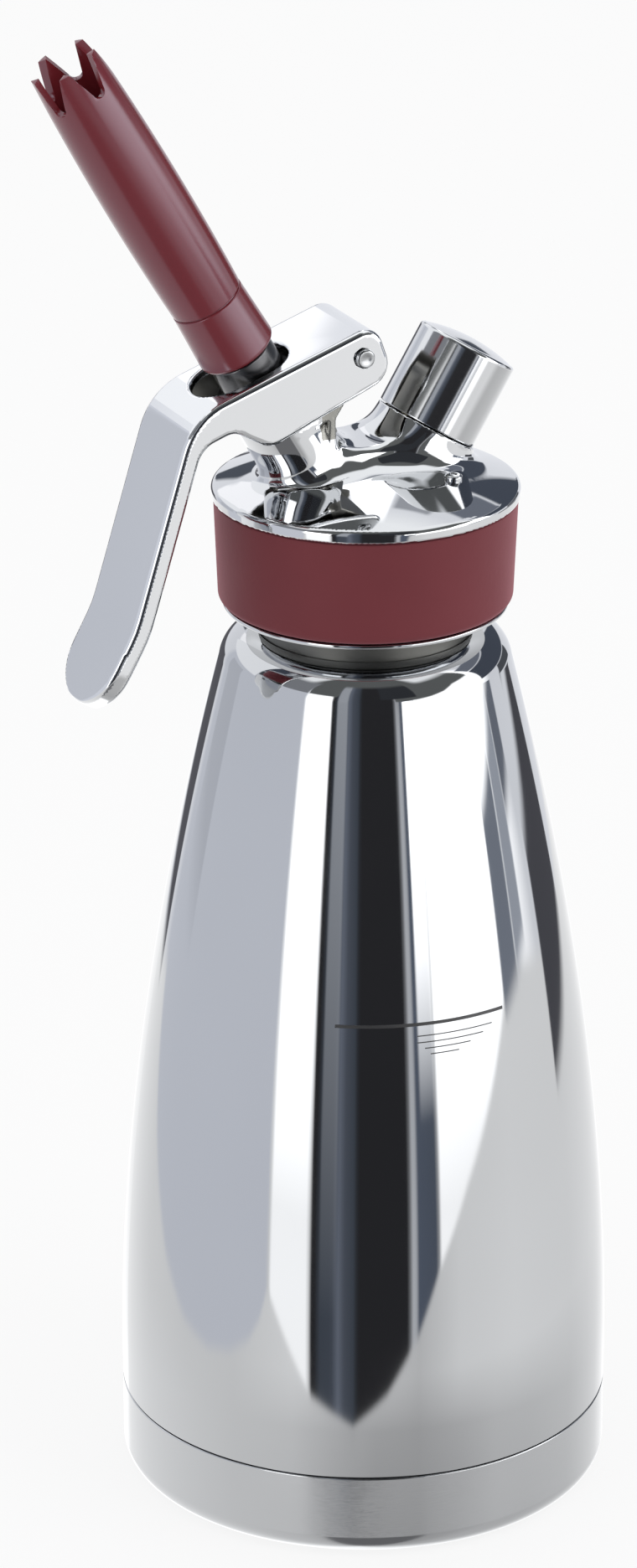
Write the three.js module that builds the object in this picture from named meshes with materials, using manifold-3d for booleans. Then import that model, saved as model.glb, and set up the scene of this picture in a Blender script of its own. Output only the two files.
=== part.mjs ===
// Whipped cream dispenser: a double-walled flask, a screwed-on head with an inclined valve,
// a hand lever, a toothed decorator tip and a cap over the charger thread.
// Millimetres, +Z up, origin in the middle of the base, lever towards -X.
import * as THREE from 'three';
import { mergeVertices } from 'three/addons/utils/BufferGeometryUtils.js';
import Module from 'manifold-3d';

// Shared clearances and counts
const clearance = 0.3; // gap between pieces that touch or run in each other
const overrun = 6; // how far a cutting body runs past what it cuts
const weldTolerance = 0.0001; // vertices closer than this are one vertex
const bodySegments = 44; // sides of the flask's outside and of the head
const flaskSegments = 32; // sides of the inner flask
const bossSegments = 30; // sides of the bosses, the cap, the spigot and the tip
const tipSegments = 32; // sides of the decorator tip
const stemSegments = 20; // sides of the small turned pieces
const pinSegments = 14; // sides of pins and pin holes
const arcSteps = 3; // steps along a rounded edge
const curveSteps = 6; // steps along each curve of an extruded outline
const arcStepAngle = 15; // degrees to a step on the lever's rounded corners

// Flask: outer shell
const baseRadius = 52.5;
const straightHeight = 30; // the wall runs straight up to here
const shoulderHeight = 189.8; // the flare ends here
const shoulderWidth = 7.1; // the shoulder reaches this far outside the neck
const shoulderRound = 2.2;
const flarePower = 1.82; // how late the flare draws in
const flareSteps = 8;
const flareStepsInside = 4;
const shellWall = 0.9;

// Flask: base cup
const seamHeight = 18.9; // joint between the base cup and the outer shell
const baseRound = 4.9;
const baseFloor = 1.2;
const lipWall = 1;
const lipHeight = 5; // the cup's lip stands this far up inside the outer shell

// Flask: vacuum plug and getter cup
const plugRadius = 5;
const plugFlangeRadius = 7.5;
const plugFlange = 1;
const getterRadius = 7;
const getterHeight = 2.4;

// Flask: inner flask and neck
const vacuumGap = 7;
const flaskWall = 1;
const flaskFloorHeight = 20;
const flaskFloorRound = 14;
const flaskSteps = 5;
const flaskShoulderDrop = 5.8; // the inner flask starts to draw in this far below the flare's end
const mouthDrawIn = 4; // height over which it draws in
const neckRise = 22; // mouth over the shoulder
const mouthRim = 1.2;
const neckRadius = 22.5;
const neckRingWall = 2;
const neckRingSink = 1.1; // how far the neck ring reaches below the shoulder's plate

// Head: skirt, rim and dome
const skirtGap = 5.4; // shoulder to the underside of the skirt
const skirtRadius = 28.6; // seat of the grip band
const skirtRingReach = 1.3; // bright ring under the band
const skirtRing = 0.9;
const rimOverhang = 0.46; // outside the top of the band
const rimThickness = 2.7;
const roofWall = 6.5; // roof inside the mouth to the top of the rim
const rimRound = 0.8;
const domeRise = 5.8; // the dome's middle over the rim
const domeSteps = 5;

// Head: grip band and gasket
const bandTopThickness = 3.04; // over its seat
const bandFootThickness = 2.2;
const bandRound = 1.6;
const gasketWidth = 3.9;
const gasketThickness = 2.6;

// Head: bridge between the bosses, heights over the rim
const bridgeRise = 9.9;
const bridgeHalfWidth = 8;
const bridgeFrontReach = 13; // towards the lever
const bridgeUnderCap = 0.66; // the bridge stays this far inside the top of the charger boss
const bridgeRound = 1.2;
const bridgeFlare = 3; // hollow curve at the bridge's foot
const bridgeFootRise = 3.7;
const bridgeRootDrop = 2.7;
const bossRootDepth = 6.5; // the bosses and the lug start this far inside the head

// Valve: axis and boss
const valveTilt = 30.3; // degrees from upright, towards the lever
const valveCrossDrop = 17.5; // the axis crosses the flask's axis this far below the rim
const valveBossRadius = 8.8;
const valveBossRise = 16.75; // over the dome, along the axis
const valveBossSink = 2.35; // its flare starts this far under the dome
const valveBossFlare = 3;
const valveSeatRise = 1.96; // over the roof, along the axis
const valveWellGap = 1; // round the valve disc
const bushBore = 5.2;
const bushLength = 6.8;

// Valve: stem, seal, disc and spring
const stemRadius = 3.2;
const stemBore = 1.9;
const stemPortRadius = 1.2;
const stemPortDrop = 1.4; // height of the cross port's middle over the valve seat
const stemPortFloor = 1.2; // floor of the bore under the port's middle
const stemSealHeight = 1.7;
const sealWasherThickness = 0.9;
const sealWasherGap = 0.4; // round the washer
const collarGap = 4.5; // top of the boss to the collar at rest
const collarEdge = 2.8; // height of the collar's rim
const collarCrown = 0.6; // the collar's top rises this much to the neck
const stemNeckRadius = 7;
const stemNeckLength = 6.8;
const stemThreadRadius = 4.4;
const stemThreadLength = 12;
const springWire = 1.2;
const springRadius = 5; // to the middle of the wire
const springGap = 0.8; // round the spring in its well
const springTurns = 6;
const springStepsPerTurn = 8;
const springSides = 5;
const discRadius = 7;
const discThickness = 2.4;
const nutRadius = 6;
const nutThickness = 2.3;
const stemTail = 1.4; // the stem reaches this far below its nut

// Decorator tip
const tipSeamRise = 2; // from the end of the stem's thread to the seam
const tipLength = 75;
const tipFootWall = 2.2; // round the insert's socket
const tipFootRound = 1.2;
const tipSeamWall = 1.75;
const tipSeamGroove = 0.35;
const tipEndRadius = 7.6; // where the teeth begin
const tipBelly = 0.55; // swells by this much between the seam and the teeth
const tipBellySteps = 4;
const tipWall = 1.5;
const tipInsertWall = 1;
const toothCount = 5;
const toothDepth = 7.8;
const toothTopWidth = 3;
const toothGapWidth = 2.9; // width of the rounded bottom between two teeth
const toothLean = 0.45; // the teeth lean in by this much
const toothTurn = 13; // turns the ring of teeth about the axis, in degrees

// Charger boss, spigot and cap
const chargerTilt = 31.4; // degrees from upright, away from the lever
const chargerCrossDrop = 12.2; // the axis crosses the flask's axis this far below the rim
const chargerBossRise = 6.17; // over the dome, along the axis
const chargerBossSink = 2.83; // its flare starts this far under the dome
const chargerBossFlare = 3;
const capRadius = 10.85;
const capWall = 1.55;
const capHeadroom = 2.35; // between the spigot and the cap
const capCrown = 2;
const capEdge = 0.7;
const spigotLength = 14; // above the boss
const spigotStubRadius = 6;
const spigotStub = 8; // below the top of the boss
const chargerBore = 4.8;
const chargerBoreDepth = 10.5;
const pinBore = 1.7;
const piercingPinRadius = 1.4;
const piercingPinReach = 5.5; // above the floor of the charger's bore
const piercingPinPoint = 1.5;
const piercingPinShank = 5.5; // below that floor
const chargerSealThickness = 1.8;
const chargerSealBore = 2;
const checkValveThickness = 3;
const checkValveSlit = 0.6;
const gasPassage = 1.5;

// Channel plug, beside the charger boss
const channelPlugX = 12.2;
const channelPlugY = -15.9;
const channelPlugRadius = 1.9;
const channelPlugDepth = 3.4;
const channelPlugHead = 1.1;
const channelPlugCrown = 0.5;

// Lever, in a frame at its pin with the arm's top along the first axis
const pinAcross = 19.2; // from the stem's axis to the pin
const leverSlope = 19.2; // degrees that the arm falls away from the pin
const handleTurn = 53.7; // degrees from the arm to the handle
const collarLeverGap = 0.26; // under the arm at the collar's edge, at rest
const collarSideGap = 0.7; // between the collar and the cheeks
const leverWall = 1.6; // cheeks
const leverTopWall = 1.9;
const armReach = 19.4; // from the stem's axis to the corner at the handle's outer face
const bendRadius = 15;
const handleStraight = 46; // from that corner to the bend at the handle's toe
const toeLength = 18.9; // from that bend to the handle's end
const toeTurn = 12; // degrees that the toe turns outwards
const toeBendRadius = 25; // of the handle's outer face
const handleThickness = 4.2;
const leverBack = 5.1; // the arm reaches this far behind the pin
const leverTopRound = 4.2;
const cheekBackDepth = 6.7; // lower edge of the cheeks under the pin
const cheekFrontDepth = 8.9;
const cheekSetback = 13.6; // front corner of the cheeks, from the corner at the handle
const cheekRound = 4.6;
const archSetback = 7.4; // hollow between the cheeks and the handle
const archDepth = 1.8;
const archRound = 4;
const innerBendRadius = 6;
const toeEndRound = 0.9;
const channelSetback = 4.2; // front of the channel under the arm
const channelFootSetback = 2.6;
const channelRound = 3;
const stemHoleGap = 0.7; // beside the stem's neck
const stemHoleStretch = 2.9; // the hole is longer than wide by twice this
const stemHoleShift = 1.9; // towards the handle
const lugSideGap = 1.5; // between the lug and the cheeks
const lugTopGap = 0.15; // between the lug and the arm's top
const lugHeadRadius = 3.4;
const lugHeadSteps = 5;
const lugBackX = -10.6;
const lugBackRise = 17.3; // the lug leans back to the pin above this, over the rim
const lugClearOfCollar = 1.3; // the lug stays this far outside the collar's cylinder
const pinRadius = 1.5;
const pinHeadRadius = 2.1;
const pinHeadHeight = 0.8;
const pinCrownShare = 0.6; // width of the head's flat, as a share of the head

// Materials
const steel = (name, color, roughness) =>
  new THREE.MeshStandardMaterial({ name, color, roughness, metalness: 1 });
const polymer = (name, color, roughness) =>
  new THREE.MeshStandardMaterial({ name, color, roughness, metalness: 0 });
const materials = {
  polishedSteel: steel('polished steel', 0xd4d6da, 0.12),
  satinSteel: steel('satin steel', 0xb9bcc0, 0.35),
  turnedSteel: steel('turned steel', 0xa9adb2, 0.28),
  chrome: steel('chrome', 0xe2e5e9, 0.06),
  brass: steel('plated brass', 0xc9c4b4, 0.3),
  springSteel: steel('spring steel', 0x8f949a, 0.3),
  burgundyPlastic: polymer('burgundy plastic', 0x7a2f37, 0.3),
  burgundySilicone: polymer('burgundy silicone', 0x7d3a40, 0.6),
  paleSilicone: polymer('pale silicone', 0xd9d6cf, 0.65),
  blackRubber: polymer('black rubber', 0x26272a, 0.7),
};

// Places worked out from the sizes: flask and head
const radians = THREE.MathUtils.degToRad;
const shoulderTop = shoulderHeight + shoulderRound;
const shoulderRadius = neckRadius + shoulderWidth;
const mouthBore = neckRadius - neckRingWall - clearance - flaskWall;
const neckRingBore = mouthBore + flaskWall + clearance;
const mouthHeight = shoulderTop + neckRise;
const skirtHeight = shoulderTop + skirtGap;
const roofHeight = mouthHeight + gasketThickness + 2 * clearance;
const rimHeight = roofHeight + roofWall;
const rimFoot = rimHeight - rimThickness;
const rimRadius = skirtRadius + bandTopThickness + rimOverhang;
const domeEdge = rimRadius - rimRound;
const domeTop = rimHeight + domeRise;
const domeRadius = (domeEdge ** 2 + domeRise ** 2) / (2 * domeRise);
const domeHeightAt = (radius) => domeTop - domeRadius + Math.sqrt(domeRadius ** 2 - radius ** 2);

// Distance along an inclined axis from where it crosses the flask's axis to the dome
function reachToDome(crossHeight, tilt) {
  const height = crossHeight - domeTop + domeRadius;
  const along = height * Math.cos(radians(tilt));
  return Math.sqrt(domeRadius ** 2 - height ** 2 + along ** 2) - along;
}

// Places along the valve's axis, from where it crosses the flask's axis
const valveCrossHeight = rimHeight - valveCrossDrop;
const valveDome = reachToDome(valveCrossHeight, valveTilt);
const valveBossTop = valveDome + valveBossRise;
const valveBossFoot = valveDome - valveBossSink;
const valveSeat = (roofHeight - valveCrossHeight) / Math.cos(radians(valveTilt)) + valveSeatRise;
const springBore = springRadius + springWire / 2 + springGap;
const bushTop = valveSeat + bushLength;
const stemSealFoot = bushTop + clearance;
const sealWasherFoot = stemSealFoot + stemSealHeight + clearance;
const springFoot = sealWasherFoot + clearance + sealWasherThickness + clearance;
const discTop = valveSeat - clearance;
const nutTop = discTop - discThickness - clearance;
const stemFoot = nutTop - nutThickness - stemTail;
const collarRadius = valveBossRadius;
const collarFoot = valveBossTop + collarGap;
const collarTop = collarFoot + collarEdge + collarCrown;
const stemNeckTop = collarTop + stemNeckLength;
const tipFoot = stemNeckTop + clearance;
const tipSeam = tipFoot + stemThreadLength + tipSeamRise;
const tipEnd = tipFoot + tipLength;
const tipSocketDepth = stemThreadLength + clearance;
const tipSocketRadius = stemThreadRadius + tipInsertWall + 2 * clearance;
const tipFootRadius = tipSocketRadius + tipFootWall;
const tipSeamRadius = tipSocketRadius + tipSeamWall;

// Places along the charger's axis, from where it crosses the flask's axis
const chargerCrossHeight = rimHeight - chargerCrossDrop;
const chargerDome = reachToDome(chargerCrossHeight, chargerTilt);
const chargerBossTop = chargerDome + chargerBossRise;
const chargerBossFoot = chargerDome - chargerBossSink;
const boreFloor = chargerBossTop + clearance + spigotLength - chargerBoreDepth;
const checkValveFoot = chargerBossTop - spigotStub - clearance - checkValveThickness;

// Places of the lever
const leverHalfWidth = collarRadius + collarSideGap + leverWall;
const lugHalfWidth = collarRadius + collarSideGap - lugSideGap;
const channelTop = lugHeadRadius + lugTopGap;
const leverRise = channelTop + leverTopWall;
const armLength = pinAcross + armReach;
const stemHoleHalfWidth = stemNeckRadius + stemHoleGap;

// Solids and booleans
const wasm = await Module();
wasm.setup();

function solidOf(geometry) {
  const plain = geometry.clone();
  plain.deleteAttribute('normal');
  plain.deleteAttribute('uv');
  const welded = mergeVertices(plain, weldTolerance);
  const corners = welded.index.array;
  const triangles = [];
  for (let i = 0; i < corners.length; i += 3) {
    const [a, b, c] = corners.slice(i, i + 3);
    if (a !== b && b !== c && c !== a) triangles.push(a, b, c);
  }
  const vertProperties = new Float32Array(welded.attributes.position.array);
  const build = (order) =>
    new wasm.Manifold(new wasm.Mesh({ numProp: 3, vertProperties, triVerts: new Uint32Array(order) }));
  const solid = build(triangles);
  return solid.volume() < 0 ? build(triangles.toReversed()) : solid;
}

function meshOf(name, solid, material) {
  const { numProp, vertProperties, triVerts } = solid.getMesh();
  const geometry = new THREE.BufferGeometry();
  geometry.setAttribute('position', new THREE.BufferAttribute(new Float32Array(vertProperties), numProp));
  geometry.setIndex(new THREE.BufferAttribute(new Uint32Array(triVerts), 1));
  geometry.computeVertexNormals();
  const mesh = new THREE.Mesh(geometry, material.clone());
  mesh.name = name;
  return mesh;
}

const placed = (solid, matrix) => solid.transform(matrix.elements);

// Points along an arc from one angle to the other, in degrees
function arc(radius, centreRadius, centreHeight, fromAngle, toAngle, steps = arcSteps) {
  return Array.from({ length: steps + 1 }, (_, i) => {
    const angle = radians(fromAngle + ((toAngle - fromAngle) * i) / steps);
    return [centreRadius + radius * Math.cos(angle), centreHeight + radius * Math.sin(angle)];
  });
}

// A body turned about Z from its outline of [radius, height] points
function turned(outline, segments) {
  const points = outline.map(([radius, height]) => new THREE.Vector2(radius, height));
  if (outline[0][0] > 0 || outline.at(-1)[0] > 0) points.push(points[0].clone());
  return solidOf(new THREE.LatheGeometry(points, segments).rotateX(Math.PI / 2));
}

const rod = (radius, from, to, segments) =>
  turned([[0, from], [radius, from], [radius, to], [0, to]], segments);
const ring = (bore, radius, from, to, segments) =>
  turned([[bore, from], [radius, from], [radius, to], [bore, to]], segments);

// A flat outline in X and Z, extruded by half the width to each side of Y = 0
function plate(shape, halfWidth) {
  const options = { depth: 2 * halfWidth, bevelEnabled: false, curveSegments: curveSteps };
  const geometry = new THREE.ExtrudeGeometry(shape, options);
  return solidOf(geometry.translate(0, 0, -halfWidth).rotateX(Math.PI / 2));
}

// Frames of the two inclined axes, and the pin's place in the valve's
const valveFrame = new THREE.Matrix4()
  .makeTranslation(0, 0, valveCrossHeight)
  .multiply(new THREE.Matrix4().makeRotationY(radians(-valveTilt)));
const chargerFrame = new THREE.Matrix4()
  .makeTranslation(0, 0, chargerCrossHeight)
  .multiply(new THREE.Matrix4().makeRotationY(radians(chargerTilt)));

const leverLean = radians(valveTilt - leverSlope); // of the arm over a plane square to the stem
const pinAlong = collarFoot + collarEdge + collarLeverGap
  - (pinAcross - collarRadius) * Math.tan(leverLean) - channelTop / Math.cos(leverLean);
const pin = new THREE.Vector3(pinAcross, 0, pinAlong).applyMatrix4(valveFrame);

// Radius of the flask's outer wall at a height
function wallRadius(height) {
  const share = Math.max(0, (height - straightHeight) / (shoulderHeight - straightHeight));
  return baseRadius - (baseRadius - shoulderRadius) * share ** flarePower;
}

// Evenly spaced values from one to the other, both included
function heightsBetween(from, to, steps) {
  return Array.from({ length: steps + 1 }, (_, i) => from + ((to - from) * i) / steps);
}

function outerShell() {
  const foot = seamHeight + clearance / 2;
  const outside = [foot, ...heightsBetween(straightHeight, shoulderHeight, flareSteps)]
    .map((height) => [wallRadius(height), height]);
  const inside = [foot, ...heightsBetween(straightHeight, shoulderHeight, flareStepsInside)]
    .map((height) => [wallRadius(height) - shellWall, height]).reverse();
  const shoulder = arc(shoulderRound, shoulderRadius - shoulderRound, shoulderHeight, 0, 90).slice(1);
  const hole = neckRadius + clearance;
  return turned(
    [...outside, ...shoulder, [hole, shoulderTop], [hole, shoulderTop - shellWall],
      [shoulderRadius - shoulderRound, shoulderTop - shellWall], ...inside],
    bodySegments,
  );
}

function baseCup() {
  const hole = plugRadius + clearance;
  const flatRadius = baseRadius - baseRound;
  const lipRadius = baseRadius - shellWall - clearance;
  const wallTop = seamHeight - clearance / 2;
  const lipTop = seamHeight + lipHeight;
  return turned(
    [[hole, 0], ...arc(baseRound, flatRadius, baseRound, -90, 0), [baseRadius, wallTop],
      [lipRadius, wallTop], [lipRadius, lipTop], [lipRadius - lipWall, lipTop],
      ...arc(baseRound, lipRadius - lipWall - baseRound, baseFloor + baseRound, 0, -90), [hole, baseFloor]],
    bodySegments,
  );
}

function vacuumPlug() {
  const flangeFoot = baseFloor + clearance;
  return turned(
    [[0, 0], [plugRadius, 0], [plugRadius, flangeFoot], [plugFlangeRadius, flangeFoot],
      [plugFlangeRadius, flangeFoot + plugFlange], [0, flangeFoot + plugFlange]],
    stemSegments,
  );
}

function getterCup() {
  const top = flaskFloorHeight - clearance;
  return rod(getterRadius, top - getterHeight, top, stemSegments);
}

function innerFlask() {
  const outer = (height) => wallRadius(height) - shellWall - vacuumGap;
  const sideFoot = flaskFloorHeight + flaskFloorRound;
  const sideTop = shoulderHeight - flaskShoulderDrop;
  const heights = heightsBetween(sideFoot, sideTop, flaskSteps);
  const floorCentre = outer(sideFoot) - flaskFloorRound;
  const neckFoot = sideTop + mouthDrawIn;
  const outside = heights.slice(1).map((height) => [outer(height), height]);
  const inside = outside.map(([radius, height]) => [radius - flaskWall, height]).reverse();
  return turned(
    [[0, flaskFloorHeight], ...arc(flaskFloorRound, floorCentre, sideFoot, -90, 0), ...outside,
      [mouthBore + flaskWall, neckFoot], [mouthBore + flaskWall, mouthHeight - mouthRim],
      [neckRadius, mouthHeight - mouthRim], [neckRadius, mouthHeight], [mouthBore, mouthHeight],
      [mouthBore, neckFoot], ...inside,
      ...arc(flaskFloorRound - flaskWall, floorCentre, sideFoot, 0, -90),
      [0, flaskFloorHeight + flaskWall]],
    flaskSegments,
  );
}

function neckRing() {
  const foot = shoulderTop - shellWall - neckRingSink;
  return ring(neckRingBore, neckRadius, foot, mouthHeight - mouthRim - clearance, bodySegments);
}

function headShell() {
  const dome = heightsBetween(0, domeEdge, domeSteps).map((radius) => [radius, domeHeightAt(radius)]);
  const skirtBore = neckRadius + clearance;
  const skirtRingRadius = skirtRadius + skirtRingReach;
  return turned(
    [...dome, ...arc(rimRound, domeEdge, rimHeight - rimRound, 90, 0).slice(1),
      ...arc(rimRound, domeEdge, rimFoot + rimRound, 0, -90), [skirtRadius, rimFoot],
      [skirtRadius, skirtHeight + skirtRing], [skirtRingRadius, skirtHeight + skirtRing],
      [skirtRingRadius, skirtHeight], [skirtBore, skirtHeight], [skirtBore, roofHeight], [0, roofHeight]],
    bodySegments,
  );
}

// The bridge is a turned block drawn out along X, so its ends are round. It ends under the cap.
function bridge() {
  const bridgeHeight = rimHeight + bridgeRise;
  const rootHeight = rimHeight - bridgeRootDrop;
  const tilt = radians(chargerTilt);
  const drop = (bridgeHeight - chargerCrossHeight) * Math.cos(tilt);
  const backReach = (chargerBossTop - drop) / Math.sin(tilt) - bridgeUnderCap;
  const middle = (backReach - bridgeFrontReach) / 2;
  const stretch = (backReach + bridgeFrontReach) / 2 - bridgeHalfWidth;
  const flareCentre = rimHeight + bridgeFootRise + bridgeFlare;
  const outline = [[0, bridgeHeight],
    ...arc(bridgeRound, bridgeHalfWidth - bridgeRound, bridgeHeight - bridgeRound, 90, 0),
    ...arc(bridgeFlare, bridgeHalfWidth + bridgeFlare, flareCentre, 180, 270),
    [bridgeHalfWidth + bridgeFlare, rootHeight], [0, rootHeight]];
  return turned(outline, bossSegments).warp((vertex) => {
    vertex[0] += middle + Math.sign(vertex[0]) * stretch;
  });
}

// A round boss with a hollow curve at its foot
function flaredBoss(radius, flare, foot, top) {
  const root = foot - bossRootDepth;
  return turned(
    [[0, root], [radius + flare, root], ...arc(flare, radius + flare, foot + flare, 270, 180),
      [radius, top], [0, top]],
    bossSegments,
  );
}

const collarTravelClear = collarRadius + lugClearOfCollar;

// The lug stands upright beside the valve boss, then leans back to the pin
function leverLug() {
  const onValve = (across, along) => {
    const point = new THREE.Vector3(across, 0, along).applyMatrix4(valveFrame);
    return new THREE.Vector2(point.x, point.z);
  };
  const head = new THREE.Shape();
  head.absarc(pin.x, pin.z, lugHeadRadius, 0, 2 * Math.PI);
  const front = onValve(collarTravelClear, valveBossTop);
  const root = onValve(0, valveBossFoot);
  const back = new THREE.Vector2(lugBackX, rimHeight + lugBackRise);
  const inBoss = onValve(0, valveBossTop - collarGap);
  const arm = convexOutline([...head.getPoints(lugHeadSteps), front, inBoss, back]);
  const post = [front, root, new THREE.Vector2(lugBackX, rimHeight - bridgeRootDrop), back];
  return plate(new THREE.Shape(arm), lugHalfWidth).add(plate(new THREE.Shape(post), lugHalfWidth));
}

// The outline round a set of points, anticlockwise
function convexOutline(points) {
  const sorted = [...points].sort((a, b) => a.x - b.x || a.y - b.y);
  const half = (list) => {
    const kept = [];
    for (const point of list) {
      while (kept.length > 1 && turn(kept.at(-2), kept.at(-1), point) <= 0) kept.pop();
      kept.push(point);
    }
    return kept.slice(0, -1);
  };
  const turn = (a, b, c) => (b.x - a.x) * (c.y - a.y) - (b.y - a.y) * (c.x - a.x);
  return [...half(sorted), ...half(sorted.reverse())];
}

function valveBoss() {
  const boss = flaredBoss(valveBossRadius, valveBossFlare, valveBossFoot, valveBossTop);
  return placed(boss, valveFrame);
}

function chargerBoss() {
  const boss = flaredBoss(capRadius, chargerBossFlare, chargerBossFoot, chargerBossTop);
  return placed(boss, chargerFrame);
}

// What is bored out of the head along the valve's axis: disc well, bush bore and spring well
function valveBores() {
  const well = rod(discRadius + valveWellGap, -overrun, valveSeat, bossSegments);
  const bore = rod(bushBore, 0, valveBossTop, stemSegments);
  const springWell = rod(springBore, sealWasherFoot, valveBossTop + overrun, bossSegments);
  return placed(well.add(bore).add(springWell), valveFrame);
}

// What is bored out along the charger's axis: the spigot's socket and the gas passage
function chargerBores() {
  const socketFoot = checkValveFoot - clearance;
  const socket = rod(spigotStubRadius + clearance, socketFoot, chargerBossTop + overrun, stemSegments);
  const passage = rod(gasPassage, 0, chargerBossTop, pinSegments);
  return placed(socket.add(passage), chargerFrame);
}

function headCasting() {
  const plugHoleRadius = channelPlugRadius + clearance;
  const plugHole = rod(plugHoleRadius, channelPlugFoot - clearance, domeTop + overrun, pinSegments)
    .translate(channelPlugX, channelPlugY, 0);
  const inside = rod(neckRadius + clearance, skirtHeight - overrun, roofHeight, bodySegments);
  return headShell().add(bridge()).add(valveBoss()).add(chargerBoss()).add(leverLug())
    .subtract(inside).subtract(valveBores()).subtract(chargerBores())
    .subtract(plugHole).subtract(leverPinHole().translate(pin.x, 0, pin.z));
}

function gripBand() {
  const foot = skirtHeight + skirtRing + clearance;
  const top = rimFoot - clearance;
  const bore = skirtRadius + clearance;
  const footRound = Math.min(bandRound, bandFootThickness - clearance);
  const footCentre = skirtRadius + bandFootThickness - footRound;
  return turned(
    [[bore, foot], ...arc(footRound, footCentre, foot + footRound, -90, 0),
      [skirtRadius + bandTopThickness, top], [bore, top]],
    bodySegments,
  );
}

const headGasket = () =>
  ring(neckRadius - gasketWidth, neckRadius, mouthHeight + clearance, roofHeight - clearance, bodySegments);

// A ring on the stem
const stemRing = (radius, foot, height) =>
  ring(stemRadius + clearance, radius, foot, foot + height, stemSegments);
const valveBush = () => stemRing(bushBore - clearance, valveSeat, bushLength);
const stemSeal = () => stemRing(bushBore - clearance, stemSealFoot, stemSealHeight);
const sealWasher = () =>
  stemRing(springBore - sealWasherGap, sealWasherFoot + clearance, sealWasherThickness);
const valveDisc = () => stemRing(discRadius, discTop - discThickness, discThickness);
const discNut = () => stemRing(nutRadius, nutTop - nutThickness, nutThickness);

function valveStem() {
  const portHeight = valveSeat + stemPortDrop;
  const threadTop = stemNeckTop + stemThreadLength;
  const stem = turned(
    [[0, stemFoot], [stemRadius, stemFoot], [stemRadius, collarFoot], [collarRadius, collarFoot],
      [collarRadius, collarFoot + collarEdge], [stemNeckRadius, collarTop], [stemNeckRadius, stemNeckTop],
      [stemThreadRadius, stemNeckTop], [stemThreadRadius, threadTop], [0, threadTop]],
    stemSegments,
  );
  const bore = rod(stemBore, portHeight - stemPortFloor, threadTop + overrun, pinSegments);
  const port = rod(stemPortRadius, -stemRadius - overrun, stemRadius + overrun, pinSegments)
    .rotate(90, 0, 0).translate(0, 0, portHeight);
  return stem.subtract(bore).subtract(port);
}

// One unbroken tube wound from the washer to the collar
function valveSpring() {
  const wire = springWire / 2;
  const from = springFoot + wire;
  const to = collarFoot - clearance - wire;
  const steps = springTurns * springStepsPerTurn;
  const centres = heightsBetween(from, to, steps).map((height, i) => {
    const angle = (2 * Math.PI * i) / springStepsPerTurn;
    return new THREE.Vector3(springRadius * Math.cos(angle), springRadius * Math.sin(angle), height);
  });
  const gap = leastGap(centres, springStepsPerTurn, springWire);
  console.log(`valve_spring least gap to itself ${gap.toFixed(2)} mm`);
  const positions = centres.flatMap((centre, i) => {
    const outward = new THREE.Vector3(centre.x, centre.y, 0).normalize();
    const before = centres[Math.max(i - 1, 0)];
    const after = centres[Math.min(i + 1, steps)];
    const along = after.clone().sub(before).normalize();
    const upward = along.clone().cross(outward).normalize();
    return Array.from({ length: springSides }, (_, side) => {
      const angle = (2 * Math.PI * side) / springSides;
      return centre.clone()
        .addScaledVector(outward, wire * Math.cos(angle))
        .addScaledVector(upward, wire * Math.sin(angle))
        .toArray();
    }).flat();
  });
  const triangles = [];
  for (let i = 0; i < steps; i += 1) {
    for (let side = 0; side < springSides; side += 1) {
      const a = i * springSides + side;
      const b = i * springSides + ((side + 1) % springSides);
      triangles.push(a, b, a + springSides, b, b + springSides, a + springSides);
    }
  }
  const last = steps * springSides;
  for (let side = 1; side < springSides - 1; side += 1) {
    triangles.push(0, side + 1, side, last, last + side, last + side + 1);
  }
  const geometry = new THREE.BufferGeometry();
  geometry.setAttribute('position', new THREE.Float32BufferAttribute(positions, 3));
  geometry.setIndex(triangles);
  return solidOf(geometry);
}

// Least distance between the surfaces of two curls, measured on points half a curl or more apart
function leastGap(points, stepsPerTurn, wire) {
  let least = Infinity;
  points.forEach((point, i) => {
    points.slice(i + stepsPerTurn / 2 + 1).forEach((other) => {
      least = Math.min(least, point.distanceTo(other) - wire);
    });
  });
  return least;
}

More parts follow.
